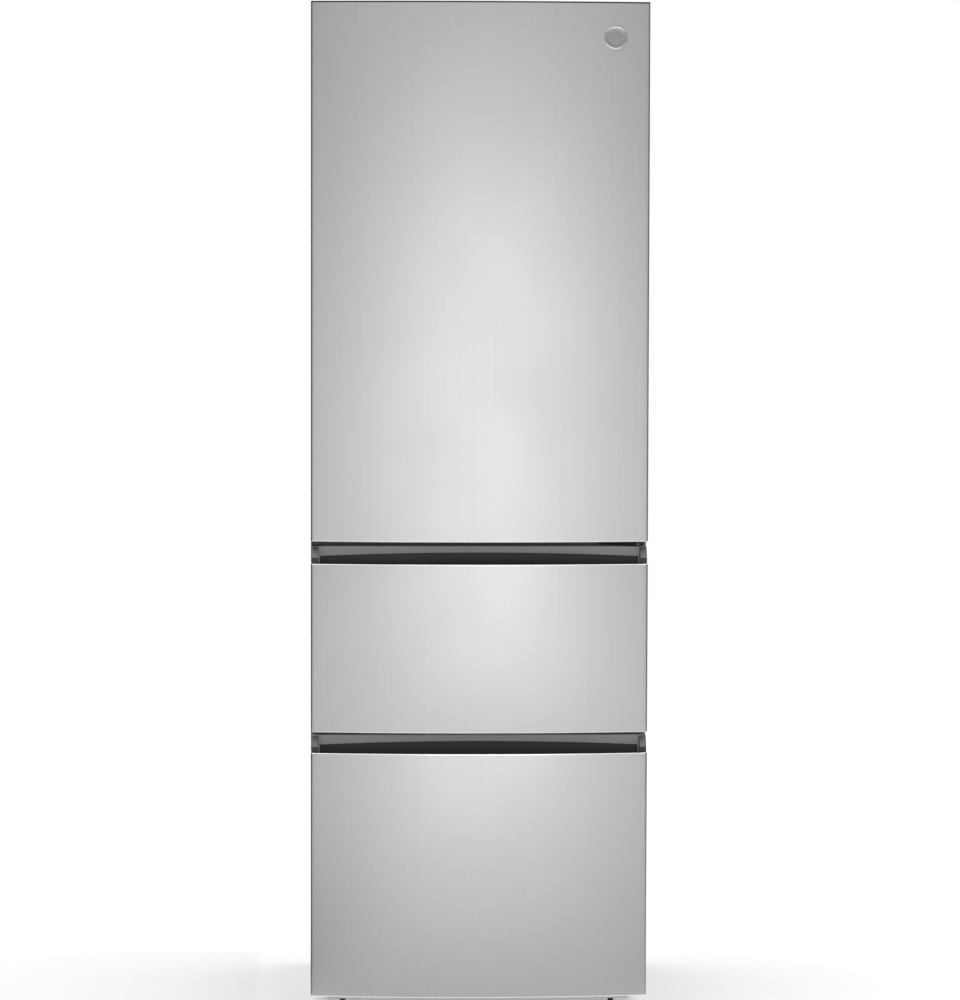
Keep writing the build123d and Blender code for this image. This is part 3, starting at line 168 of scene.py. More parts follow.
# ---------------------------------------------------------------- materials
def brushed_steel():
    """Stainless sheet brushed from top to bottom."""
    color = (0.60, 0.60, 0.605)
    mat, bsdf = principled("brushed_steel", color, 0.42, 1.0)
    grain = noise(mat, 1.0, 4.0, (2600.0, 2600.0, 9.0), 0.7)
    broad = noise(mat, 1.0, 2.0, (420.0, 420.0, 1.6), 0.5)
    cloud = noise(mat, 3.0, 2.0)
    both = add(mat, "ShaderNodeMath", operation="ADD")
    link(mat, grain, both.inputs[0])
    link(mat, broad, both.inputs[1])
    tone = ranged(mat, both.outputs[0], 0.0, 1.0, 0.55, 1.45)
    toned(mat, bsdf, tone, color, 0.97, 1.03)
    soft = ranged(mat, cloud, 0.40, 0.45)
    rough = add(mat, "ShaderNodeMath", operation="MULTIPLY_ADD")
    link(mat, grain, rough.inputs[0])
    rough.inputs[1].default_value = 0.06
    link(mat, soft, rough.inputs[2])
    link(mat, rough.outputs[0], bsdf.inputs["Roughness"])
    bumped(mat, bsdf, grain, 0.12, 0.00004)
    return mat


def painted(name, color, roughness=0.42):
    """Baked paint over a fine pebble grain."""
    mat, bsdf = principled(name, color, roughness)
    toned(mat, bsdf, ranged(mat, noise(mat, 4.0, 4.0), 0.0, 1.0), color, 0.97, 1.03)
    wear = noise(mat, 25.0, 3.0)
    link(mat, ranged(mat, wear, roughness - 0.03, roughness + 0.04), bsdf.inputs["Roughness"])
    pebble = cells(mat, 420.0, feature="SMOOTH_F1")
    bumped(mat, bsdf, pebble.outputs["Distance"], 0.25, 0.0002)
    return mat


def zinc(name, color):
    """Galvanised sheet with faint spangle."""
    mat, bsdf = principled(name, color, 0.4, 1.0)
    spangle = cells(mat, 110.0)
    tone = add(mat, "ShaderNodeSeparateColor")
    link(mat, spangle.outputs["Color"], tone.inputs["Color"])
    toned(mat, bsdf, tone.outputs["Red"], color, 0.93, 1.06)
    link(mat, ranged(mat, tone.outputs["Green"], 0.38, 0.48, 0.0, 1.0), bsdf.inputs["Roughness"])
    bumped(mat, bsdf, noise(mat, 260.0, 3.0), 0.1, 0.00006)
    return mat


def moulded(name, color, roughness, grain_scale=1400.0, grain=0.25):
    """Moulded plastic with a fine etched grain."""
    mat, bsdf = principled(name, color, roughness)
    toned(mat, bsdf, ranged(mat, noise(mat, 3.0, 3.0), 0.0, 1.0), color, 0.975, 1.02)
    link(mat, ranged(mat, noise(mat, 5.0, 2.0), roughness - 0.03, roughness + 0.03), bsdf.inputs["Roughness"])
    bumped(mat, bsdf, noise(mat, grain_scale, 2.0), grain, 0.00004)
    return mat


def foam():
    """Poured foam with open pores."""
    color = (0.80, 0.70, 0.45)
    mat, bsdf = principled("foam", color, 0.95)
    pores = noise(mat, 420.0, 5.0, roughness=0.7)
    toned(mat, bsdf, ranged(mat, pores, 0.0, 1.0), color, 0.75, 1.08)
    bumped(mat, bsdf, pores, 0.6, 0.0006)
    return mat


def clear(name, color, roughness, ior):
    """Clear plate or box; light passes it with a slight tint."""
    mat, bsdf = principled(name, color, roughness, 0.0, transmission_weight=0.92, ior=ior)
    smear = noise(mat, 6.0, 3.0)
    link(mat, ranged(mat, smear, roughness, roughness + 0.03), bsdf.inputs["Roughness"])
    tint = ranged(mat, noise(mat, 2.0, 2.0), 0.0, 1.0)
    toned(mat, bsdf, tint, color, 0.99, 1.0)
    return mat


def rubber():
    """Dull seal rubber, dusty in its folds."""
    color = (0.30, 0.30, 0.305)
    mat, bsdf = principled("seal_rubber", color, 0.72, sheen_weight=0.2)
    toned(mat, bsdf, ranged(mat, noise(mat, 24.0, 4.0), 0.0, 1.0), color, 0.85, 1.1)
    bumped(mat, bsdf, noise(mat, 700.0, 3.0), 0.2, 0.0001)
    return mat


def satin_metal(name, color, roughness, grain=0.06):
    """Satin metal with a fine even grain."""
    mat, bsdf = principled(name, color, roughness, 1.0)
    fine = noise(mat, 1.0, 3.0, (300.0, 300.0, 300.0))
    link(mat, ranged(mat, fine, roughness - 0.06, roughness + 0.08), bsdf.inputs["Roughness"])
    toned(mat, bsdf, ranged(mat, noise(mat, 12.0), 0.0, 1.0), color, 0.94, 1.04)
    bumped(mat, bsdf, fine, grain, 0.00004)
    return mat


materials = {
    "stainless": brushed_steel(),
    "cabinet_paint": painted("cabinet_paint", (0.11, 0.11, 0.115)),
    "zinc_steel": zinc("zinc_steel", (0.55, 0.56, 0.57)),
    "bare_steel": satin_metal("bare_steel", (0.62, 0.62, 0.63), 0.28),
    "black_enamel": painted("black_enamel", (0.012, 0.012, 0.013), 0.32),
    "grip_grey": moulded("grip_grey", (0.262, 0.25, 0.243), 0.42),
    "black_plastic": moulded("black_plastic", (0.012, 0.012, 0.013), 0.5),
    "white_plastic": moulded("white_plastic", (0.83, 0.84, 0.845), 0.32, 500.0, 0.06),
    "basket_plastic": moulded("basket_plastic", (0.72, 0.76, 0.79), 0.34, 500.0, 0.06),
    "clear_plastic": clear("clear_plastic", (0.975, 0.988, 0.992), 0.03, 1.3),
    "trim_plastic": moulded("trim_plastic", (0.58, 0.61, 0.63), 0.25, 500.0, 0.06),
    "shelf_glass": clear("shelf_glass", (0.94, 0.985, 0.97), 0.01, 1.45),
    "seal_rubber": rubber(),
    "roller_plastic": moulded("roller_plastic", (0.02, 0.02, 0.02), 0.6),
    "foam": foam(),
    "aluminium_fins": satin_metal("aluminium_fins", (0.72, 0.73, 0.74), 0.35),
    "badge_metal": satin_metal("badge_metal", (0.66, 0.66, 0.67), 0.3),
}

slot_of = {row["node"]: row["material_slot"] for row in frame["record"]["subparts"]}
body_of = {n: body for body, members in frame["record"]["behaviour"]["bodies"].items() for n in members}


def dress(obj, slot_name):
    """Gives an object the material of a slot."""
    obj.data.materials.clear()
    obj.data.materials.append(materials[slot_name])


for node_name, node in nodes.items():
    dress(node, slot_of[node_name])


# ---------------------------------------------------------------- mesh helpers
SHARP_ANGLE = 35.0  # degrees, as the next two: an edge that turns by more isn't smoothed
FINE_SHARP_ANGLE = 30.0
TUB_SHARP_ANGLE = 40.0
JOIN_DISTANCE = 0.001 * MM


def new_object(name, verts, faces, smooth_angle=SHARP_ANGLE):
    """A mesh object with smooth faces and sharp edges above an angle."""
    mesh = bpy.data.meshes.new(name)
    mesh.from_pydata([tuple(v) for v in verts], [], faces)
    mesh.update()
    obj = bpy.data.objects.new(name, mesh)
    scene.collection.objects.link(obj)
    tidy_mesh(obj, smooth_angle)
    return obj


def tidy_mesh(obj, smooth_angle=SHARP_ANGLE):
    """Joins doubled points, turns faces outward and smooths."""
    bm = bmesh.new()
    bm.from_mesh(obj.data)
    bmesh.ops.remove_doubles(bm, verts=bm.verts, dist=JOIN_DISTANCE)
    bmesh.ops.recalc_face_normals(bm, faces=bm.faces)
    bm.to_mesh(obj.data)
    bm.free()
    for face in obj.data.polygons:
        face.use_smooth = True
    obj.data.set_sharp_from_angle(angle=math.radians(smooth_angle))


def apply_modifiers(obj):
    """Keeps an object's evaluated mesh and drops its modifiers."""
    bpy.context.view_layer.update()
    graph = bpy.context.evaluated_depsgraph_get()
    mesh = bpy.data.meshes.new_from_object(obj.evaluated_get(graph))
    obj.modifiers.clear()
    obj.data = mesh


def cut(obj, lo, hi):
    """Cuts a box out of an object."""
    bm = bmesh.new()
    bmesh.ops.create_cube(bm, size=1.0)
    size = Vector(hi) - Vector(lo)
    centre = (Vector(hi) + Vector(lo)) / 2
    for v in bm.verts:
        v.co = Vector((v.co.x * size.x, v.co.y * size.y, v.co.z * size.z)) + centre
    mesh = bpy.data.meshes.new("cutter")
    bm.to_mesh(mesh)
    bm.free()
    cutter = bpy.data.objects.new("cutter", mesh)
    scene.collection.objects.link(cutter)
    modifier = obj.modifiers.new("cut", "BOOLEAN")
    modifier.operation = "DIFFERENCE"
    modifier.solver = "EXACT"
    modifier.object = cutter
    apply_modifiers(obj)
    bpy.data.objects.remove(cutter)
    tidy_mesh(obj)


def stand_for(obj, node_name):
    """The object takes a CAD node's place, body and finish."""
    slot_name = slot_of[node_name]
    dress(obj, slot_name)
    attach(obj, body_of[node_name])
    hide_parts(node_name)
    return obj


# ---------------------------------------------------------------- softened copies of CAD nodes
BEVEL_ANGLE = 32.0  # degrees, from which an edge counts as sharp
BEVEL_SEGMENTS = 2
BEVEL_VOLUME_SHARE = 0.04  # the most that rounding may change a piece's volume
KEPT_FLAT_ANGLE = 50.0  # degrees
SLIVER = 0.002 * MM
SOLID_JOIN_DISTANCE = 0.002 * MM
FLAT_ANGLE = 0.4  # degrees, up to which neighbouring faces count as one
SOFT_WIDTHS = {  # in millimetres
    "cabinet_paint": 0.5,
    "zinc_steel": 0.25,
    "bare_steel": 0.3,
    "black_enamel": 0.8,
    "grip_grey": 0.9,
    "black_plastic": 0.6,
    "white_plastic": 0.8,
    "basket_plastic": 0.9,
    "clear_plastic": 0.7,
    "trim_plastic": 0.5,
    "shelf_glass": 0.6,
    "seal_rubber": 0.7,
    "roller_plastic": 0.8,
}


def merged(node):
    """A CAD node's mesh with its points joined and its flat faces whole."""
    bm = bmesh.new()
    bm.from_mesh(node.data)
    bm.transform(node.matrix_world)
    bmesh.ops.remove_doubles(bm, verts=bm.verts, dist=SOLID_JOIN_DISTANCE)
    bmesh.ops.dissolve_limit(
        bm, angle_limit=math.radians(FLAT_ANGLE), verts=bm.verts, edges=bm.edges, delimit={"NORMAL"}
    )
    return bm


def islands(bm):
    """Connected groups of faces, in face order."""
    bm.faces.ensure_lookup_table()
    bm.faces.index_update()
    seen = [False] * len(bm.faces)
    groups = []
    for start in bm.faces:
        if seen[start.index]:
            continue
        seen[start.index] = True
        stack = [start]
        group = []
        while stack:
            face = stack.pop()
            group.append(face)
            for edge in face.edges:
                for other in edge.link_faces:
                    if not seen[other.index]:
                        seen[other.index] = True
                        stack.append(other)
        groups.append(sorted(group, key=lambda f: f.index))
    return groups


def group_mesh(group):
    """A mesh of one group of faces."""
    index = {}
    verts = []
    faces = []
    for face in group:
        loop = []
        for vert in face.verts:
            if vert.index not in index:
                index[vert.index] = len(verts)
                verts.append(tuple(vert.co))
            loop.append(index[vert.index])
        faces.append(loop)
    mesh = bpy.data.meshes.new("group")
    mesh.from_pydata(verts, [], faces)
    mesh.update()
    return mesh


def closed_volume(mesh):
    """A mesh's volume, or None where it isn't closed."""
    bm = bmesh.new()
    bm.from_mesh(mesh)
    whole = all(len(edge.link_faces) == 2 for edge in bm.edges)
    volume = bm.calc_volume(signed=True) if whole else None
    bm.free()
    return volume


def without_slivers(mesh):
    """Closes up edges of no length, where that leaves the mesh closed."""
    bm = bmesh.new()
    bm.from_mesh(mesh)
    bmesh.ops.remove_doubles(bm, verts=bm.verts, dist=SLIVER)
    bmesh.ops.dissolve_degenerate(bm, dist=SLIVER, edges=bm.edges)
    if all(len(edge.link_faces) == 2 for edge in bm.edges):
        bm.to_mesh(mesh)
    bm.free()


def bevelled(mesh, width):
    """The mesh with its sharp edges rounded, or as it was where that doesn't come out whole."""
    before = closed_volume(mesh)
    if before is None:
        return mesh
    for share in (1.0, 0.5, 0.25):
        obj = bpy.data.objects.new("bevelled", mesh)
        scene.collection.objects.link(obj)
        modifier = obj.modifiers.new("bevel", "BEVEL")
        modifier.width = width * share
        modifier.segments = BEVEL_SEGMENTS
        modifier.limit_method = "ANGLE"
        modifier.angle_limit = math.radians(BEVEL_ANGLE)
        modifier.use_clamp_overlap = True
        bpy.context.view_layer.update()
        graph = bpy.context.evaluated_depsgraph_get()
        result = bpy.data.meshes.new_from_object(obj.evaluated_get(graph))
        bpy.data.objects.remove(obj)
        without_slivers(result)
        after = closed_volume(result)
        if after is not None and abs(after - before) < BEVEL_VOLUME_SHARE * abs(before):
            return result
    return mesh


def weighted(obj):
    """Smooth shading that keeps the flat faces flat."""
    for face in obj.data.polygons:
        face.use_smooth = True
    obj.data.set_sharp_from_angle(angle=math.radians(KEPT_FLAT_ANGLE))
    modifier = obj.modifiers.new("weighted", "WEIGHTED_NORMAL")
    modifier.keep_sharp = True
    bpy.context.view_layer.update()
    graph = bpy.context.evaluated_depsgraph_get()
    source = obj.evaluated_get(graph)
    mesh = bpy.data.meshes.new_from_object(source, preserve_all_data_layers=True, depsgraph=graph)
    obj.modifiers.clear()
    obj.data = mesh


def softened(node_name):
    """A copy of a CAD node with rounded edges, which stands for it."""
    width = SOFT_WIDTHS[slot_of[node_name]] * MM
    bm = merged(nodes[node_name])
    bm.verts.index_update()
    verts = []
    faces = []
    for group in islands(bm):
        mesh = bevelled(group_mesh(group), width)
        first = len(verts)
        verts += [tuple(v.co) for v in mesh.vertices]
        faces += [[first + i for i in face.vertices] for face in mesh.polygons]
    bm.free()
    mesh = bpy.data.meshes.new(node_name + "_soft")
    mesh.from_pydata(verts, [], faces)
    mesh.update()
    obj = bpy.data.objects.new(node_name + "_soft", mesh)
    scene.collection.objects.link(obj)
    weighted(obj)
    return stand_for(obj, node_name)


# ---------------------------------------------------------------- bowed fronts
skin_lo, skin_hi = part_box("door_skin")
HALF_WIDTH = skin_hi.x
FRONT_Y = skin_lo.y
PAN_REAR_Y = skin_hi.y
BOW = 22.0 * MM
BOW_RADIUS = (HALF_WIDTH**2 + BOW**2) / (2 * BOW)
BOW_CENTRE_Y = FRONT_Y + BOW_RADIUS
CORNER_RADIUS = 4.0 * MM
HEM_RADIUS = 2.2 * MM
SHEET = 1.0 * MM
FOLD_WIDTH = 24.0 * MM
TOP_FOLD_WIDTH = 6.0 * MM
RETURN_WIDTH = 7.0 * MM
RETURN_LAP = 0.5 * MM
RETURN_SKIM = 0.03 * MM  # keeps faces that would lie on each other apart
FOAM_SETBACK = 1.6 * MM
BELOW_NEXT_PIECE = 0.3 * MM
RETURN_INSET = 0.02 * MM  # ahead of the front's rear edge
PLATE_LAP = 1.0 * MM
PLATE_SKIM = 0.05 * MM
# the painted hem highlight stops this far ahead of the front's rear edge
HEM_HIGHLIGHT_END = 5.0 * MM  # ahead of the front's rear edge
REAR_FACE = 0.1 * MM  # points this near to a block's rear belong to its rear face
CUT_REAR_Y = -250.0 * MM
CUT_PAST = 10.0 * MM  # how far a cut reaches past a front
BOW_STEPS = 96
CORNER_STEPS = 8
SIDE_STEPS = 4
HEM_STEPS = 6


def outline(inset, rear_y):
    """Plan points of a front, from its left rear corner round to its right one."""
    radius = BOW_RADIUS - inset
    half = HALF_WIDTH - inset
    corner = max(CORNER_RADIUS - inset, 0.2 * MM)
    centre_x = half - corner
    centre_y = BOW_CENTRE_Y - math.sqrt((radius - corner) ** 2 - centre_x**2)
    lean = math.asin(centre_x / (radius - corner))
    right = []
    for i in range(CORNER_STEPS + 1):
        turn = (math.pi / 2 - lean) * i / CORNER_STEPS
        right.append((centre_x + corner * math.cos(turn), centre_y - corner * math.sin(turn)))
    bow = []
    for i in range(1, BOW_STEPS):
        angle = lean - 2 * lean * i / BOW_STEPS
        bow.append((radius * math.sin(angle), BOW_CENTRE_Y - radius * math.cos(angle)))
    side = [(half, rear_y + (centre_y - rear_y) * i / SIDE_STEPS) for i in range(SIDE_STEPS)]
    points = side + right + bow
    points += [(-x, y) for x, y in reversed(side + right)]
    return points[::-1]


def arc_profile(corner_inset, corner_z, radius, start, stop):
    """Profile points (inset, z) round a hem's edge."""
    points = []
    for i in range(HEM_STEPS + 1):
        a = math.radians(start + (stop - start) * i / HEM_STEPS)
        points.append((corner_inset - radius * math.cos(a), corner_z + radius * math.sin(a)))
    return points


def pan_profile(z0, z1, top_lip):
    """Closed profile (inset, z) of a folded sheet front: bottom fold, face and, if it has one, top fold."""
    r, t = HEM_RADIUS, SHEET
    outer = [(FOLD_WIDTH, z0)] + arc_profile(r, z0 + r, r, -90, 0)
    inner = [(FOLD_WIDTH, z0 + t)] + arc_profile(r, z0 + r, r - t, -90, 0)
    if top_lip > 0:
        outer += arc_profile(r, z1 - r, r, 0, 90) + [(top_lip, z1)]
        inner += arc_profile(r, z1 - r, r - t, 0, 90) + [(top_lip, z1 - t)]
    else:
        outer.append((0.0, z1))
        inner.append((t, z1))
    return outer + inner[::-1]


def swept_front(name, profile, rear_y):
    """Sweeps a closed profile (inset, z) round a front's plan, with closed ends."""
    rings = [[(x, y, z) for x, y in outline(inset, rear_y)] for inset, z in profile]
    count = len(rings[0])
    verts = [v for ring in rings for v in ring]
    faces = []
    total = len(profile)
    for j in range(total):
        k = (j + 1) % total
        for i in range(count - 1):
            faces.append((j * count + i, j * count + i + 1, k * count + i + 1, k * count + i))
    faces.append(tuple(j * count for j in range(total)))
    faces.append(tuple(j * count + count - 1 for j in reversed(range(total))))
    return new_object(name, verts, faces)


def add_plate(obj, inset, rear_y, z0, z1):
    """Adds a flat plate with a front's plan to an object."""
    bm = bmesh.new()
    bm.from_mesh(obj.data)
    plan = outline(inset, rear_y)
    low = [bm.verts.new((x, y, z0)) for x, y in plan]
    high = [bm.verts.new((x, y, z1)) for x, y in plan]
    bm.faces.new(low)
    bm.faces.new(high[::-1])
    for i in range(len(plan)):
        k = (i + 1) % len(plan)
        bm.faces.new((low[i], low[k], high[k], high[i]))
    bm.to_mesh(obj.data)
    bm.free()
    tidy_mesh(obj)


def paint_hem_highlights(front, z0, z1):
    """Gives the rolled top and bottom edges of a front a painted highlight: a colour much brighter than the
    sheet's, with a smoother finish.
    """
    front.data.materials.append(hem_painted_highlight)
    for face in front.data.polygons:
        z = face.center.z
        if (z < z0 + HEM_RADIUS or z > z1 - HEM_RADIUS) and face.center.y < PAN_REAR_Y - HEM_HIGHLIGHT_END:
            face.material_index = 1


def add_box(obj, lo, hi):
    """Adds a closed box to an object."""
    bm = bmesh.new()
    bm.from_mesh(obj.data)
    spots = [(x, y, z) for z in (lo[2], hi[2]) for y in (lo[1], hi[1]) for x in (lo[0], hi[0])]
    corners = [bm.verts.new(spot) for spot in spots]
    for loop in ((0, 2, 3, 1), (4, 5, 7, 6), (0, 1, 5, 4), (2, 6, 7, 3), (0, 4, 6, 2), (1, 3, 7, 5)):
        bm.faces.new([corners[i] for i in loop])
    bm.to_mesh(obj.data)
    bm.free()


def add_return(obj, z0, z1):
    """Folds a front's sides and bottom in behind its foam."""
    rear = PAN_REAR_Y - RETURN_INSET
    outer = HALF_WIDTH - SHEET / 2
    for side in (-1, 1):
        xs = sorted((side * (HALF_WIDTH - RETURN_WIDTH), side * outer))
        add_box(obj, (xs[0], rear - SHEET, z0 + SHEET / 2), (xs[1], rear, z1))
    lo = (RETURN_WIDTH - HALF_WIDTH - RETURN_LAP, rear - SHEET + RETURN_SKIM, z0 + SHEET / 2 + RETURN_SKIM)
    hi = (HALF_WIDTH - RETURN_WIDTH + RETURN_LAP, rear - RETURN_SKIM, z0 + RETURN_WIDTH)
    add_box(obj, lo, hi)
    tidy_mesh(obj)


def recessed_foam(node_name):
    """Foam with its rear face drawn in ahead of the sheet's return."""
    mesh = nodes[node_name].data.copy()
    foam_block = bpy.data.objects.new(node_name + "_core", mesh)
    scene.collection.objects.link(foam_block)
    rear = max(v.co.y for v in mesh.vertices)
    for vert in mesh.vertices:
        if vert.co.y > rear - REAR_FACE:
            vert.co.y -= FOAM_SETBACK
    tidy_mesh(foam_block)
    stand_for(foam_block, node_name)


def steel_front(node_name, top_lip):
    """Fine mesh of one stainless front."""
    lo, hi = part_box(node_name)
    return swept_front(node_name + "_sheet", pan_profile(lo.z, hi.z, top_lip), PAN_REAR_Y)


def close_bottom(front, z0):
    """Closes a front's underside between its folds."""
    add_plate(front, FOLD_WIDTH - PLATE_LAP, PAN_REAR_Y, z0 + PLATE_SKIM, z0 + SHEET - PLATE_SKIM)


# painted highlight: the hems' steel is coloured much brighter than the brushed sheet; its lower roughness is
# a smoother rolled finish
hem_painted_highlight = satin_metal("hem_painted_highlight", (0.93, 0.93, 0.935), 0.2, 0.01)
GRIP_WALL_Y = -286.0 * MM
GRIP_SEAT_SIDE = 1.2 * MM  # from a front's side to the opening that its grip sits in
GRIP_SEAT_DEPTH = 20.5 * MM
GRIP_SEAT_AHEAD = 0.2 * MM
# the corner of the door's top that makes room for the hinge
HINGE_POCKET = ((0.2075, -0.306, 1.779), (HALF_WIDTH + CUT_PAST, CUT_REAR_Y, 1.80))
door_skin = steel_front("door_skin", 0.0)
cut(door_skin, *HINGE_POCKET)
close_bottom(door_skin, skin_lo.z)
add_return(door_skin, skin_lo.z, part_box("door_top_cap")[0].z - BELOW_NEXT_PIECE)
stand_for(door_skin, "door_skin")
recessed_foam("door_foam")
paint_hem_highlights(door_skin, skin_lo.z, skin_hi.z + 2 * HEM_RADIUS)  # the door has no fold at its top

for which in ("middle", "bottom"):
    node_name = which + "_front_skin"
    lo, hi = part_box(node_name)
    front = steel_front(node_name, TOP_FOLD_WIDTH)
    seat_half = HALF_WIDTH - GRIP_SEAT_SIDE
    seat_lo = (-seat_half, GRIP_WALL_Y - GRIP_SEAT_AHEAD, hi.z - GRIP_SEAT_DEPTH)
    cut(front, seat_lo, (seat_half, CUT_REAR_Y, hi.z + CUT_PAST))
    close_bottom(front, lo.z)
    add_return(front, lo.z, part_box(which + "_grip")[0].z - BELOW_NEXT_PIECE)
    stand_for(front, node_name)
    recessed_foam(which + "_front_foam")
    paint_hem_highlights(front, lo.z, hi.z)


# ---------------------------------------------------------------- grips
GRIP_END = 12.5 * MM  # width of the block that closes a grip's end
GRIP_END_EDGE = 1.0 * MM
SCOOP_DEPTH = 12.0 * MM  # behind the grip's wall
SCOOP_TOP_DROP = 5.0 * MM  # below the grip's top, as the next one
TROUGH_TOP_DROP = 20.0 * MM
WALL_BAND = 0.2 * MM
# painted shade: near-black colour for the shade inside the finger scoop and trough
scoop_painted_shade = moulded("scoop_painted_shade", (0.021, 0.0175, 0.0165), 0.5)
# painted shade: the end blocks are coloured darker than the grip's wall, as shade would darken them
grip_end_painted_shade = moulded("grip_end_painted_shade", (0.165, 0.158, 0.154), 0.42)


def grip_with_painted_shade(which):
    """Grip with painted shade: its finger scoop, its trough and the low ends of its end blocks near black,
    the rest of its end blocks a darker grey than its wall.
    """
    name = which + "_grip"
    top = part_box(name)[1].z
    grip = softened(name)
    grip.data.materials.append(scoop_painted_shade)
    grip.data.materials.append(grip_end_painted_shade)
    for face in grip.data.polygons:
        x, y, z = face.center
        between_ends = abs(x) < HALF_WIDTH - GRIP_END
        within = between_ends and y < GRIP_WALL_Y + SCOOP_DEPTH and z < top - SCOOP_TOP_DROP
        on_wall = abs(y - GRIP_WALL_Y) < WALL_BAND
        at_end = abs(x) > HALF_WIDTH - GRIP_END - GRIP_END_EDGE
        low_end = at_end and y < GRIP_WALL_Y + GRIP_END_EDGE and z < top - TROUGH_TOP_DROP
        # painted shade: scoop, trough and low end faces take the near-black colour, the rest of the end
        # blocks the darker grey
        if (within and not on_wall) or low_end:
            face.material_index = 1
        elif at_end and y < GRIP_WALL_Y - WALL_BAND:
            face.material_index = 2


for which in ("middle", "bottom"):
    grip_with_painted_shade(which)


# ---------------------------------------------------------------- badge
BADGE_STEPS = 72
BADGE_RIM_STEPS = 8
BADGE_RIM_SHARE = 0.13  # of the badge's radius


def lathe(name, profile, centre):
    """Turns a profile (radius, depth) round an axis along Y; the profile starts and ends on the axis."""
    steps = BADGE_STEPS
    verts = []
    rings = []
    for radius, depth in profile:
        if radius == 0:
            rings.append([len(verts)])
            verts.append((centre[0], centre[1] + depth, centre[2]))
            continue
        ring = []
        for i in range(steps):
            a = 2 * math.pi * i / steps
            ring.append(len(verts))
            x, z = centre[0] + radius * math.cos(a), centre[2] + radius * math.sin(a)
            verts.append((x, centre[1] + depth, z))
        rings.append(ring)
    faces = []
    for low, high in zip(rings, rings[1:]):
        for i in range(steps):
            k = (i + 1) % steps
            if len(low) == 1:
                faces.append((low[0], high[i], high[k]))
            elif len(high) == 1:
                faces.append((low[i], low[k], high[0]))
            else:
                faces.append((low[i], low[k], high[k], high[i]))
    return new_object(name, verts, faces, FINE_SHARP_ANGLE)


def badge():
    """Blank round badge: polished rim round a satin field."""
    lo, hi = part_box("badge_disc")
    centre = ((lo.x + hi.x) / 2, hi.y, (lo.z + hi.z) / 2)
    radius = (hi.x - lo.x) / 2
    depth = hi.y - lo.y
    rim = BADGE_RIM_SHARE * radius
    profile = [(0.0, 0.0), (radius - 0.4 * MM, 0.0), (radius, -0.4 * MM)]
    for i in range(BADGE_RIM_STEPS + 1):
        a = math.pi * i / BADGE_RIM_STEPS
        profile.append((radius - rim / 2 + rim / 2 * math.cos(a), -depth + rim * 0.25 * (1 - math.sin(a))))
    field = ((radius - rim - 0.3 * MM, 0.7 * MM), (0.5 * radius, 0.6 * MM), (0.0, 0.5 * MM))
    profile += [(r, -depth + sunk) for r, sunk in field]
    disc = lathe("badge", profile, centre)
    stand_for(disc, "badge_disc")
    disc.data.materials.append(satin_metal("badge_field", (0.40, 0.40, 0.405), 0.36))
    for face in disc.data.polygons:
        x, y, z = face.center
        inside = math.hypot(x - centre[0], z - centre[2]) < radius - rim
        if inside and y < centre[1] - 0.3 * depth:
            face.material_index = 1


badge()


# ---------------------------------------------------------------- moulded tubs
TUB_CORNER_STEPS = 8
BAR_CORNER_STEPS = 4
FOOT_STEPS = 5


def round_plan(x0, x1, y0, y1, radius, steps):
    """Points of a rectangle with round corners."""
    radius = max(radius, 0.3 * MM)
    left, right = x0 + radius, x1 - radius
    near, far = y0 + radius, y1 - radius
    points = []
    for cx, cy, start in ((right, far, 0), (left, far, 90), (left, near, 180), (right, near, 270)):
        for i in range(steps + 1):
            a = math.radians(start + 90 * i / steps)
            points.append((cx + radius * math.cos(a), cy + radius * math.sin(a)))
    return points


def foot_round(inset, z, radius):
    """Points (inset, z) of the quarter round between a tub's bottom and its side."""
    points = []
    for i in range(FOOT_STEPS + 1):
        a = math.radians(-90 + 90 * i / FOOT_STEPS)
        points.append((inset - radius * math.cos(a), z + radius * math.sin(a)))
    return points


def stacked_rings(lo, hi, profile, corner, steps):
    """Vertices and faces of round-cornered rings, one for each (inset, z), closed at both ends."""
    verts = []
    faces = []
    for inset, z in profile:
        plan = round_plan(lo[0] + inset, hi[0] - inset, lo[1] + inset, hi[1] - inset, corner - inset, steps)
        verts += [(x, y, z) for x, y in plan]
    count = len(verts) // len(profile)
    for j in range(len(profile) - 1):
        for i in range(count):
            k = (i + 1) % count
            faces.append((j * count + i, j * count + k, (j + 1) * count + k, (j + 1) * count + i))
    faces.append(tuple(reversed(range(count))))
    faces.append(tuple((len(profile) - 1) * count + i for i in range(count)))
    return verts, faces


def tub_shell(lo, hi, wall, corner, foot, lip, draft):
    """Vertices and faces of an open tub with round corners, a round foot, tapered sides and a beaded rim."""
    bead = 3.0 * MM
    edge = 0.7 * MM
    top = hi[2]
    top_in = lip + wall
    outer = foot_round(draft + lip + foot, lo[2] + foot, foot)
    outer += [(lip, top - bead - lip), (0.0, top - bead), (0.0, top - edge)]
    outer += [(0.3 * edge, top - 0.3 * edge), (edge, top)]
    outer += [(top_in - edge, top), (top_in - 0.3 * edge, top - 0.3 * edge), (top_in, top - edge)]
    inner_foot = max(foot - wall, 1.0 * MM)
    inner = foot_round(draft + lip + wall + inner_foot, lo[2] + wall + inner_foot, inner_foot)
    return stacked_rings(lo, hi, outer + inner[::-1], corner, TUB_CORNER_STEPS)


def plate_shell(lo, hi, edge):
    """Vertices and faces of a flat bar with rounded long edges."""
    low, top = lo[2], hi[2]
    profile = [(edge, low), (0.3 * edge, low + 0.3 * edge), (0.0, low + edge)]
    profile += [(0.0, top - edge), (0.3 * edge, top - 0.3 * edge), (edge, top)]
    return stacked_rings(lo, hi, profile, 3 * edge, BAR_CORNER_STEPS)


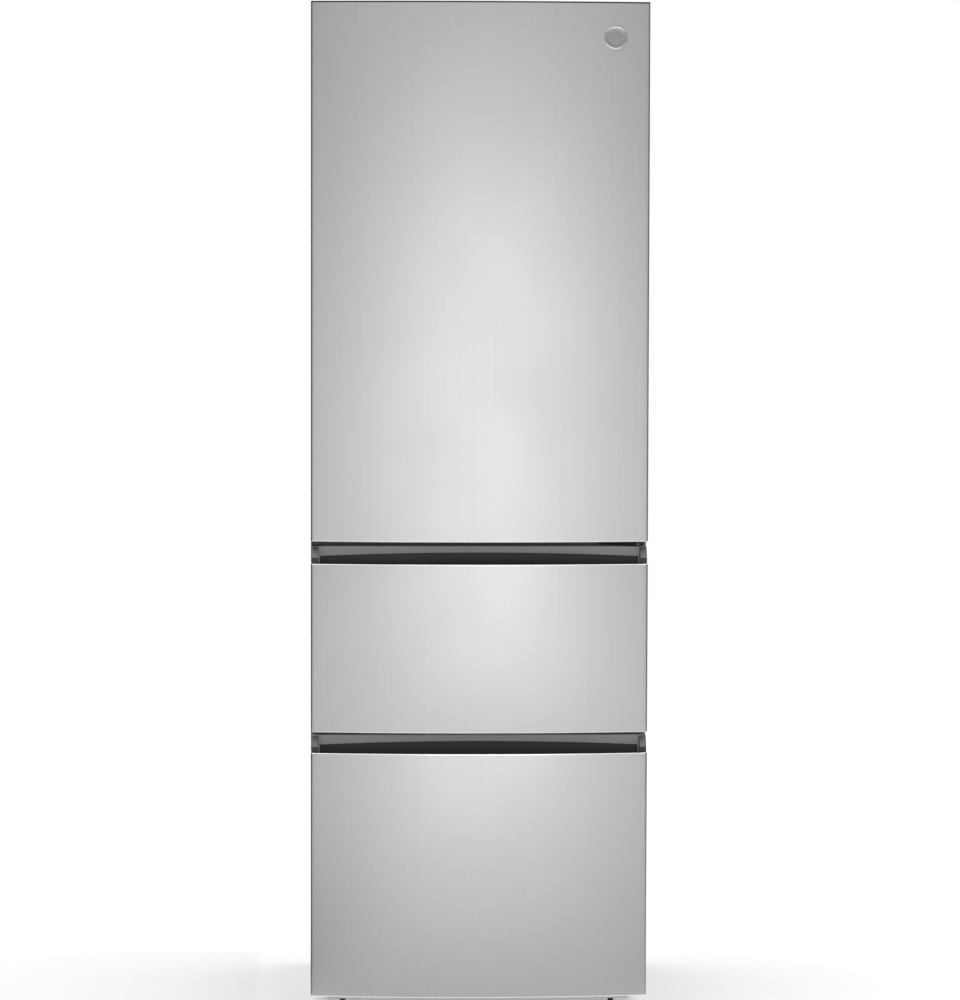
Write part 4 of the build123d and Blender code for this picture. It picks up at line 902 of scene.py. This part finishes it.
def joined(name, shells):
    """One object of several closed shells."""
    verts = []
    faces = []
    for shell_verts, shell_faces in shells:
        first = len(verts)
        verts += shell_verts
        faces += [[first + i for i in face] for face in shell_faces]
    return new_object(name, verts, faces, TUB_SHARP_ANGLE)


def island_boxes(node_name):
    """Lowest and highest corner of each connected part of a node, from the bottom up."""
    bm = merged(nodes[node_name])
    bm.verts.index_update()
    boxes = []
    for group in islands(bm):
        points = [vert.co for face in group for vert in face.verts]
        lo = tuple(min(p[i] for p in points) for i in range(3))
        hi = tuple(max(p[i] for p in points) for i in range(3))
        boxes.append((lo, hi))
    bm.free()
    return sorted(boxes, key=lambda box: box[0][2])


CRISPER_WALL = 3.0 * MM
CRISPER_PULL = 12.0 * MM
CRISPER_PULL_LAP = 2.5 * MM
CRISPER_LIFT = 0.05 * MM  # running gap over the runners
BASKET_WALL = 2.5 * MM
BASKET_REACH = 6.0 * MM
BASKET_CORNER = 14.0 * MM
BASKET_RIM_DROP = 14.0 * MM
BASKET_RIM_LAP = 2.0 * MM
# wall, corner, foot, lip and draft of each kind of tub
BIN_FORM = (2.5 * MM, 10 * MM, 7 * MM, 1.2 * MM, 1.5 * MM)
CRISPER_FORM = (CRISPER_WALL, 12 * MM, 8 * MM, 1.5 * MM, 1.5 * MM)
BASKET_FORM = (BASKET_WALL, BASKET_CORNER, 10 * MM, 1.0 * MM, 1.0 * MM)

bin_shells = [tub_shell(lo, hi, *BIN_FORM) for lo, hi in island_boxes("door_bins")]
stand_for(joined("door_bins_moulded", bin_shells), "door_bins")

lo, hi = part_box("crisper")
front = lo.y + CRISPER_PULL
pull_z = hi.z - 2 * CRISPER_WALL
pull_hi = (hi.x / 2, front + CRISPER_PULL_LAP, pull_z + CRISPER_WALL)
crisper_shells = [
    tub_shell((lo.x, front, lo.z + CRISPER_LIFT), tuple(hi), *CRISPER_FORM),
    plate_shell((lo.x / 2, lo.y, pull_z), pull_hi, 1.0 * MM),
]
stand_for(joined("crisper_moulded", crisper_shells), "crisper")

for which in ("middle", "bottom"):
    node_name = which + "_basket"
    lo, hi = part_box(node_name)
    tub_lo = (lo.x + BASKET_REACH, lo.y, lo.z)
    tub_hi = (hi.x - BASKET_REACH, hi.y, hi.z)
    shells = [tub_shell(tub_lo, tub_hi, *BASKET_FORM)]
    rest = hi.z - BASKET_RIM_DROP
    for x0, x1 in ((lo.x, tub_lo[0] + BASKET_RIM_LAP), (tub_hi[0] - BASKET_RIM_LAP, hi.x)):
        rim_lo = (x0, lo.y + BASKET_CORNER, rest)
        rim_hi = (x1, hi.y - BASKET_CORNER, rest + BASKET_WALL)
        shells.append(plate_shell(rim_lo, rim_hi, 0.8 * MM))
    stand_for(joined(node_name + "_moulded", shells), node_name)


# ---------------------------------------------------------------- seals
SEAL_WIDTH = 16.0 * MM
SEAL_BASE = 4.0 * MM
SEAL_BULB = 5.5 * MM
SEAL_NECK = 3.2 * MM


def gasket(node_name):
    """Magnetic seal: a pressed-in base, a folded bellows and a flat magnet housing, mitred at its corners."""
    lo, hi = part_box(node_name)
    depth = hi.y - lo.y
    middle = SEAL_WIDTH / 2
    bulb = SEAL_BULB
    neck = SEAL_NECK
    half = [
        (middle - 1.0 * MM, 0.0),
        (middle - 0.2 * MM, 0.6 * MM),
        (middle - 0.2 * MM, SEAL_BASE - 1.2 * MM),
        (middle - 1.2 * MM, SEAL_BASE),
        (neck, SEAL_BASE + 0.1 * MM),
        (neck - 0.4 * MM, SEAL_BASE + 0.8 * MM),
        (bulb - 1.2 * MM, SEAL_BASE + 1.9 * MM),
        (bulb - 0.9 * MM, SEAL_BASE + 2.5 * MM),
        (neck, SEAL_BASE + 3.5 * MM),
        (neck + 0.1 * MM, SEAL_BASE + 4.1 * MM),
        (bulb - 0.4 * MM, SEAL_BASE + 4.6 * MM),
        (bulb, SEAL_BASE + 5.2 * MM),
        (bulb, depth - 0.8 * MM),
        (bulb - 0.8 * MM, depth),
    ]
    profile = [(middle - u, v) for u, v in half] + [(middle + u, v) for u, v in reversed(half)]
    verts = []
    for u, v in profile:
        y = lo.y + v
        left, right, low, top = lo.x + u, hi.x - u, lo.z + u, hi.z - u
        verts += [(left, y, low), (right, y, low), (right, y, top), (left, y, top)]
    faces = []
    for j in range(len(profile)):
        k = (j + 1) % len(profile)
        for i in range(4):
            m = (i + 1) % 4
            faces.append((4 * j + i, 4 * j + m, 4 * k + m, 4 * k + i))
    stand_for(new_object(node_name + "_bellows", verts, faces, FINE_SHARP_ANGLE), node_name)


SEALS = ("door_seal", "middle_front_seal", "bottom_front_seal")
for node_name in SEALS:
    gasket(node_name)


# ---------------------------------------------------------------- other nodes
# slots whose nodes stay as they are or are made above, and single nodes that are made above
DONE_SLOTS = ("foam", "aluminium_fins", "badge_metal", "stainless", "grip_grey")
DONE_NODES = {"door_bins", "crisper", "middle_basket", "bottom_basket", *SEALS}
for node_name in sorted(nodes):
    if slot_of[node_name] not in DONE_SLOTS and node_name not in DONE_NODES:
        softened(node_name)

LAMP_GLOW = 5.0
lamp, lamp_shader = principled("lamp_lens", (0.9, 0.9, 0.9), 0.35)
prisms = noise(lamp, 60.0, 2.0)
lamp_tint = mixed(lamp, ranged(lamp, prisms, 0.0, 1.0), (0.82, 0.83, 0.84), (0.92, 0.92, 0.92))
link(lamp, lamp_tint, lamp_shader.inputs["Base Color"])
lamp_shader.inputs["Emission Color"].default_value = (1.0, 0.97, 0.92, 1.0)
lamp_shader.inputs["Emission Strength"].default_value = LAMP_GLOW
bumped(lamp, lamp_shader, prisms, 0.3, 0.001)
bpy.data.objects["light_lens_soft"].data.materials[0] = lamp


# ---------------------------------------------------------------- stage and light
FLOOR_RADIUS = 7.0
FLOOR_GLOW = 0.22
SIDE_FILL = 0.395
DOME_FILL = 0.98
DOME_START = 0.25  # height in the sky where the dome starts to brighten, of 1.0
DOME_FULL = 0.75
KEY_POWER = 9.6
TOP_POWER = 71.0
FLAG_GLOW = {-1: 0.01, 1: 0.12}
CARD_Z = 0.004  # height of the cards that lie on the floor


def area(name, location, target, size_x, size_y, power):
    """A rectangular area light aimed at a point."""
    data = bpy.data.lights.new(name, "AREA")
    data.shape = "RECTANGLE"
    data.size = size_x
    data.size_y = size_y
    data.energy = power
    obj = bpy.data.objects.new(name, data)
    obj.location = location
    direction = Vector(target) - Vector(location)
    obj.rotation_euler = direction.to_track_quat("-Z", "Y").to_euler()
    scene.collection.objects.link(obj)


def floor():
    """A wide pale floor."""
    bpy.ops.mesh.primitive_circle_add(vertices=96, radius=FLOOR_RADIUS, fill_type="NGON", location=(0, 0, 0))
    obj = bpy.context.object
    obj.name = "floor"
    mat, bsdf = principled("floor", (0.92, 0.92, 0.92), 0.7)
    cloud = ranged(mat, noise(mat, 0.6, 2.0), 0.0, 1.0)
    link(mat, mixed(mat, cloud, (0.915, 0.915, 0.915), (0.925, 0.925, 0.925)), bsdf.inputs["Base Color"])
    bsdf.inputs["Emission Color"].default_value = (1.0, 1.0, 1.0, 1.0)
    bsdf.inputs["Emission Strength"].default_value = FLOOR_GLOW
    obj.data.materials.append(mat)


def world():
    """White studio: bright overhead, dimmer around, plain white where it is seen directly."""
    w = bpy.data.worlds.new("studio")
    scene.world = w
    w.use_nodes = True
    tree = w.node_tree
    tree.nodes.clear()
    output = tree.nodes.new("ShaderNodeOutputWorld")
    backdrop = tree.nodes.new("ShaderNodeBackground")
    backdrop.inputs["Color"].default_value = (1.0, 1.0, 1.0, 1.0)
    backdrop.inputs["Strength"].default_value = 1.0
    fill = tree.nodes.new("ShaderNodeBackground")
    fill.inputs["Color"].default_value = (1.0, 1.0, 1.0, 1.0)
    coords = tree.nodes.new("ShaderNodeTexCoord")
    split = tree.nodes.new("ShaderNodeSeparateXYZ")
    height = tree.nodes.new("ShaderNodeMapRange")
    height.interpolation_type = "SMOOTHSTEP"
    height.inputs["From Min"].default_value = DOME_START
    height.inputs["From Max"].default_value = DOME_FULL
    height.inputs["To Min"].default_value = SIDE_FILL
    height.inputs["To Max"].default_value = DOME_FILL
    tree.links.new(coords.outputs["Generated"], split.inputs[0])
    tree.links.new(split.outputs["Z"], height.inputs["Value"])
    tree.links.new(height.outputs["Result"], fill.inputs["Strength"])
    path = tree.nodes.new("ShaderNodeLightPath")
    mix = tree.nodes.new("ShaderNodeMixShader")
    tree.links.new(path.outputs["Is Camera Ray"], mix.inputs[0])
    tree.links.new(fill.outputs[0], mix.inputs[1])
    tree.links.new(backdrop.outputs[0], mix.inputs[2])
    tree.links.new(mix.outputs[0], output.inputs["Surface"])


def card(name, location, rotation, size_x, size_y, glow):
    """A studio card that only reflections show."""
    bpy.ops.mesh.primitive_grid_add(
        x_subdivisions=1, y_subdivisions=1, size=1.0, location=location, rotation=rotation
    )
    obj = bpy.context.object
    obj.name = name
    obj.scale = (size_x, size_y, 1.0)
    mat = bpy.data.materials.new(name)
    mat.use_nodes = True
    tree = mat.node_tree
    tree.nodes.clear()
    output = tree.nodes.new("ShaderNodeOutputMaterial")
    emission = tree.nodes.new("ShaderNodeEmission")
    emission.inputs["Strength"].default_value = glow
    tree.links.new(emission.outputs[0], output.inputs["Surface"])
    obj.data.materials.append(mat)
    obj.visible_camera = False
    obj.visible_diffuse = False
    obj.visible_transmission = False
    obj.visible_volume_scatter = False
    obj.visible_shadow = False


floor()
world()
area("key", (0.14, -3.0, 0.88), (0.0, -0.3, 0.92), 1.0, 0.9, KEY_POWER)
area("top", (0.0, 0.0, 5.0), (0.0, 0.0, 0.0), 6.0, 6.0, TOP_POWER)
for side in (-1, 1):
    upright = (math.radians(90), 0, math.radians(90))
    card("flag", (side * 1.6, -0.6, 1.0), upright, 2.6, 3.0, FLAG_GLOW[side])
for name, x, y, size_x, size_y, glow in (
    ("left_floor_card", -1.0, -0.35, 1.2, 1.6, 0.02),
    ("right_floor_card", 1.0, -0.35, 1.2, 1.6, 0.45),
    ("near_floor_card", 0.0, -0.54, 3.0, 0.36, 0.60),
    ("far_floor_card", 0.0, -1.42, 3.0, 1.4, 0.84),
):
    card(name, (x, y, CARD_Z), (0, 0, 0), size_x, size_y, glow)
scene.view_settings.view_transform = "Standard"
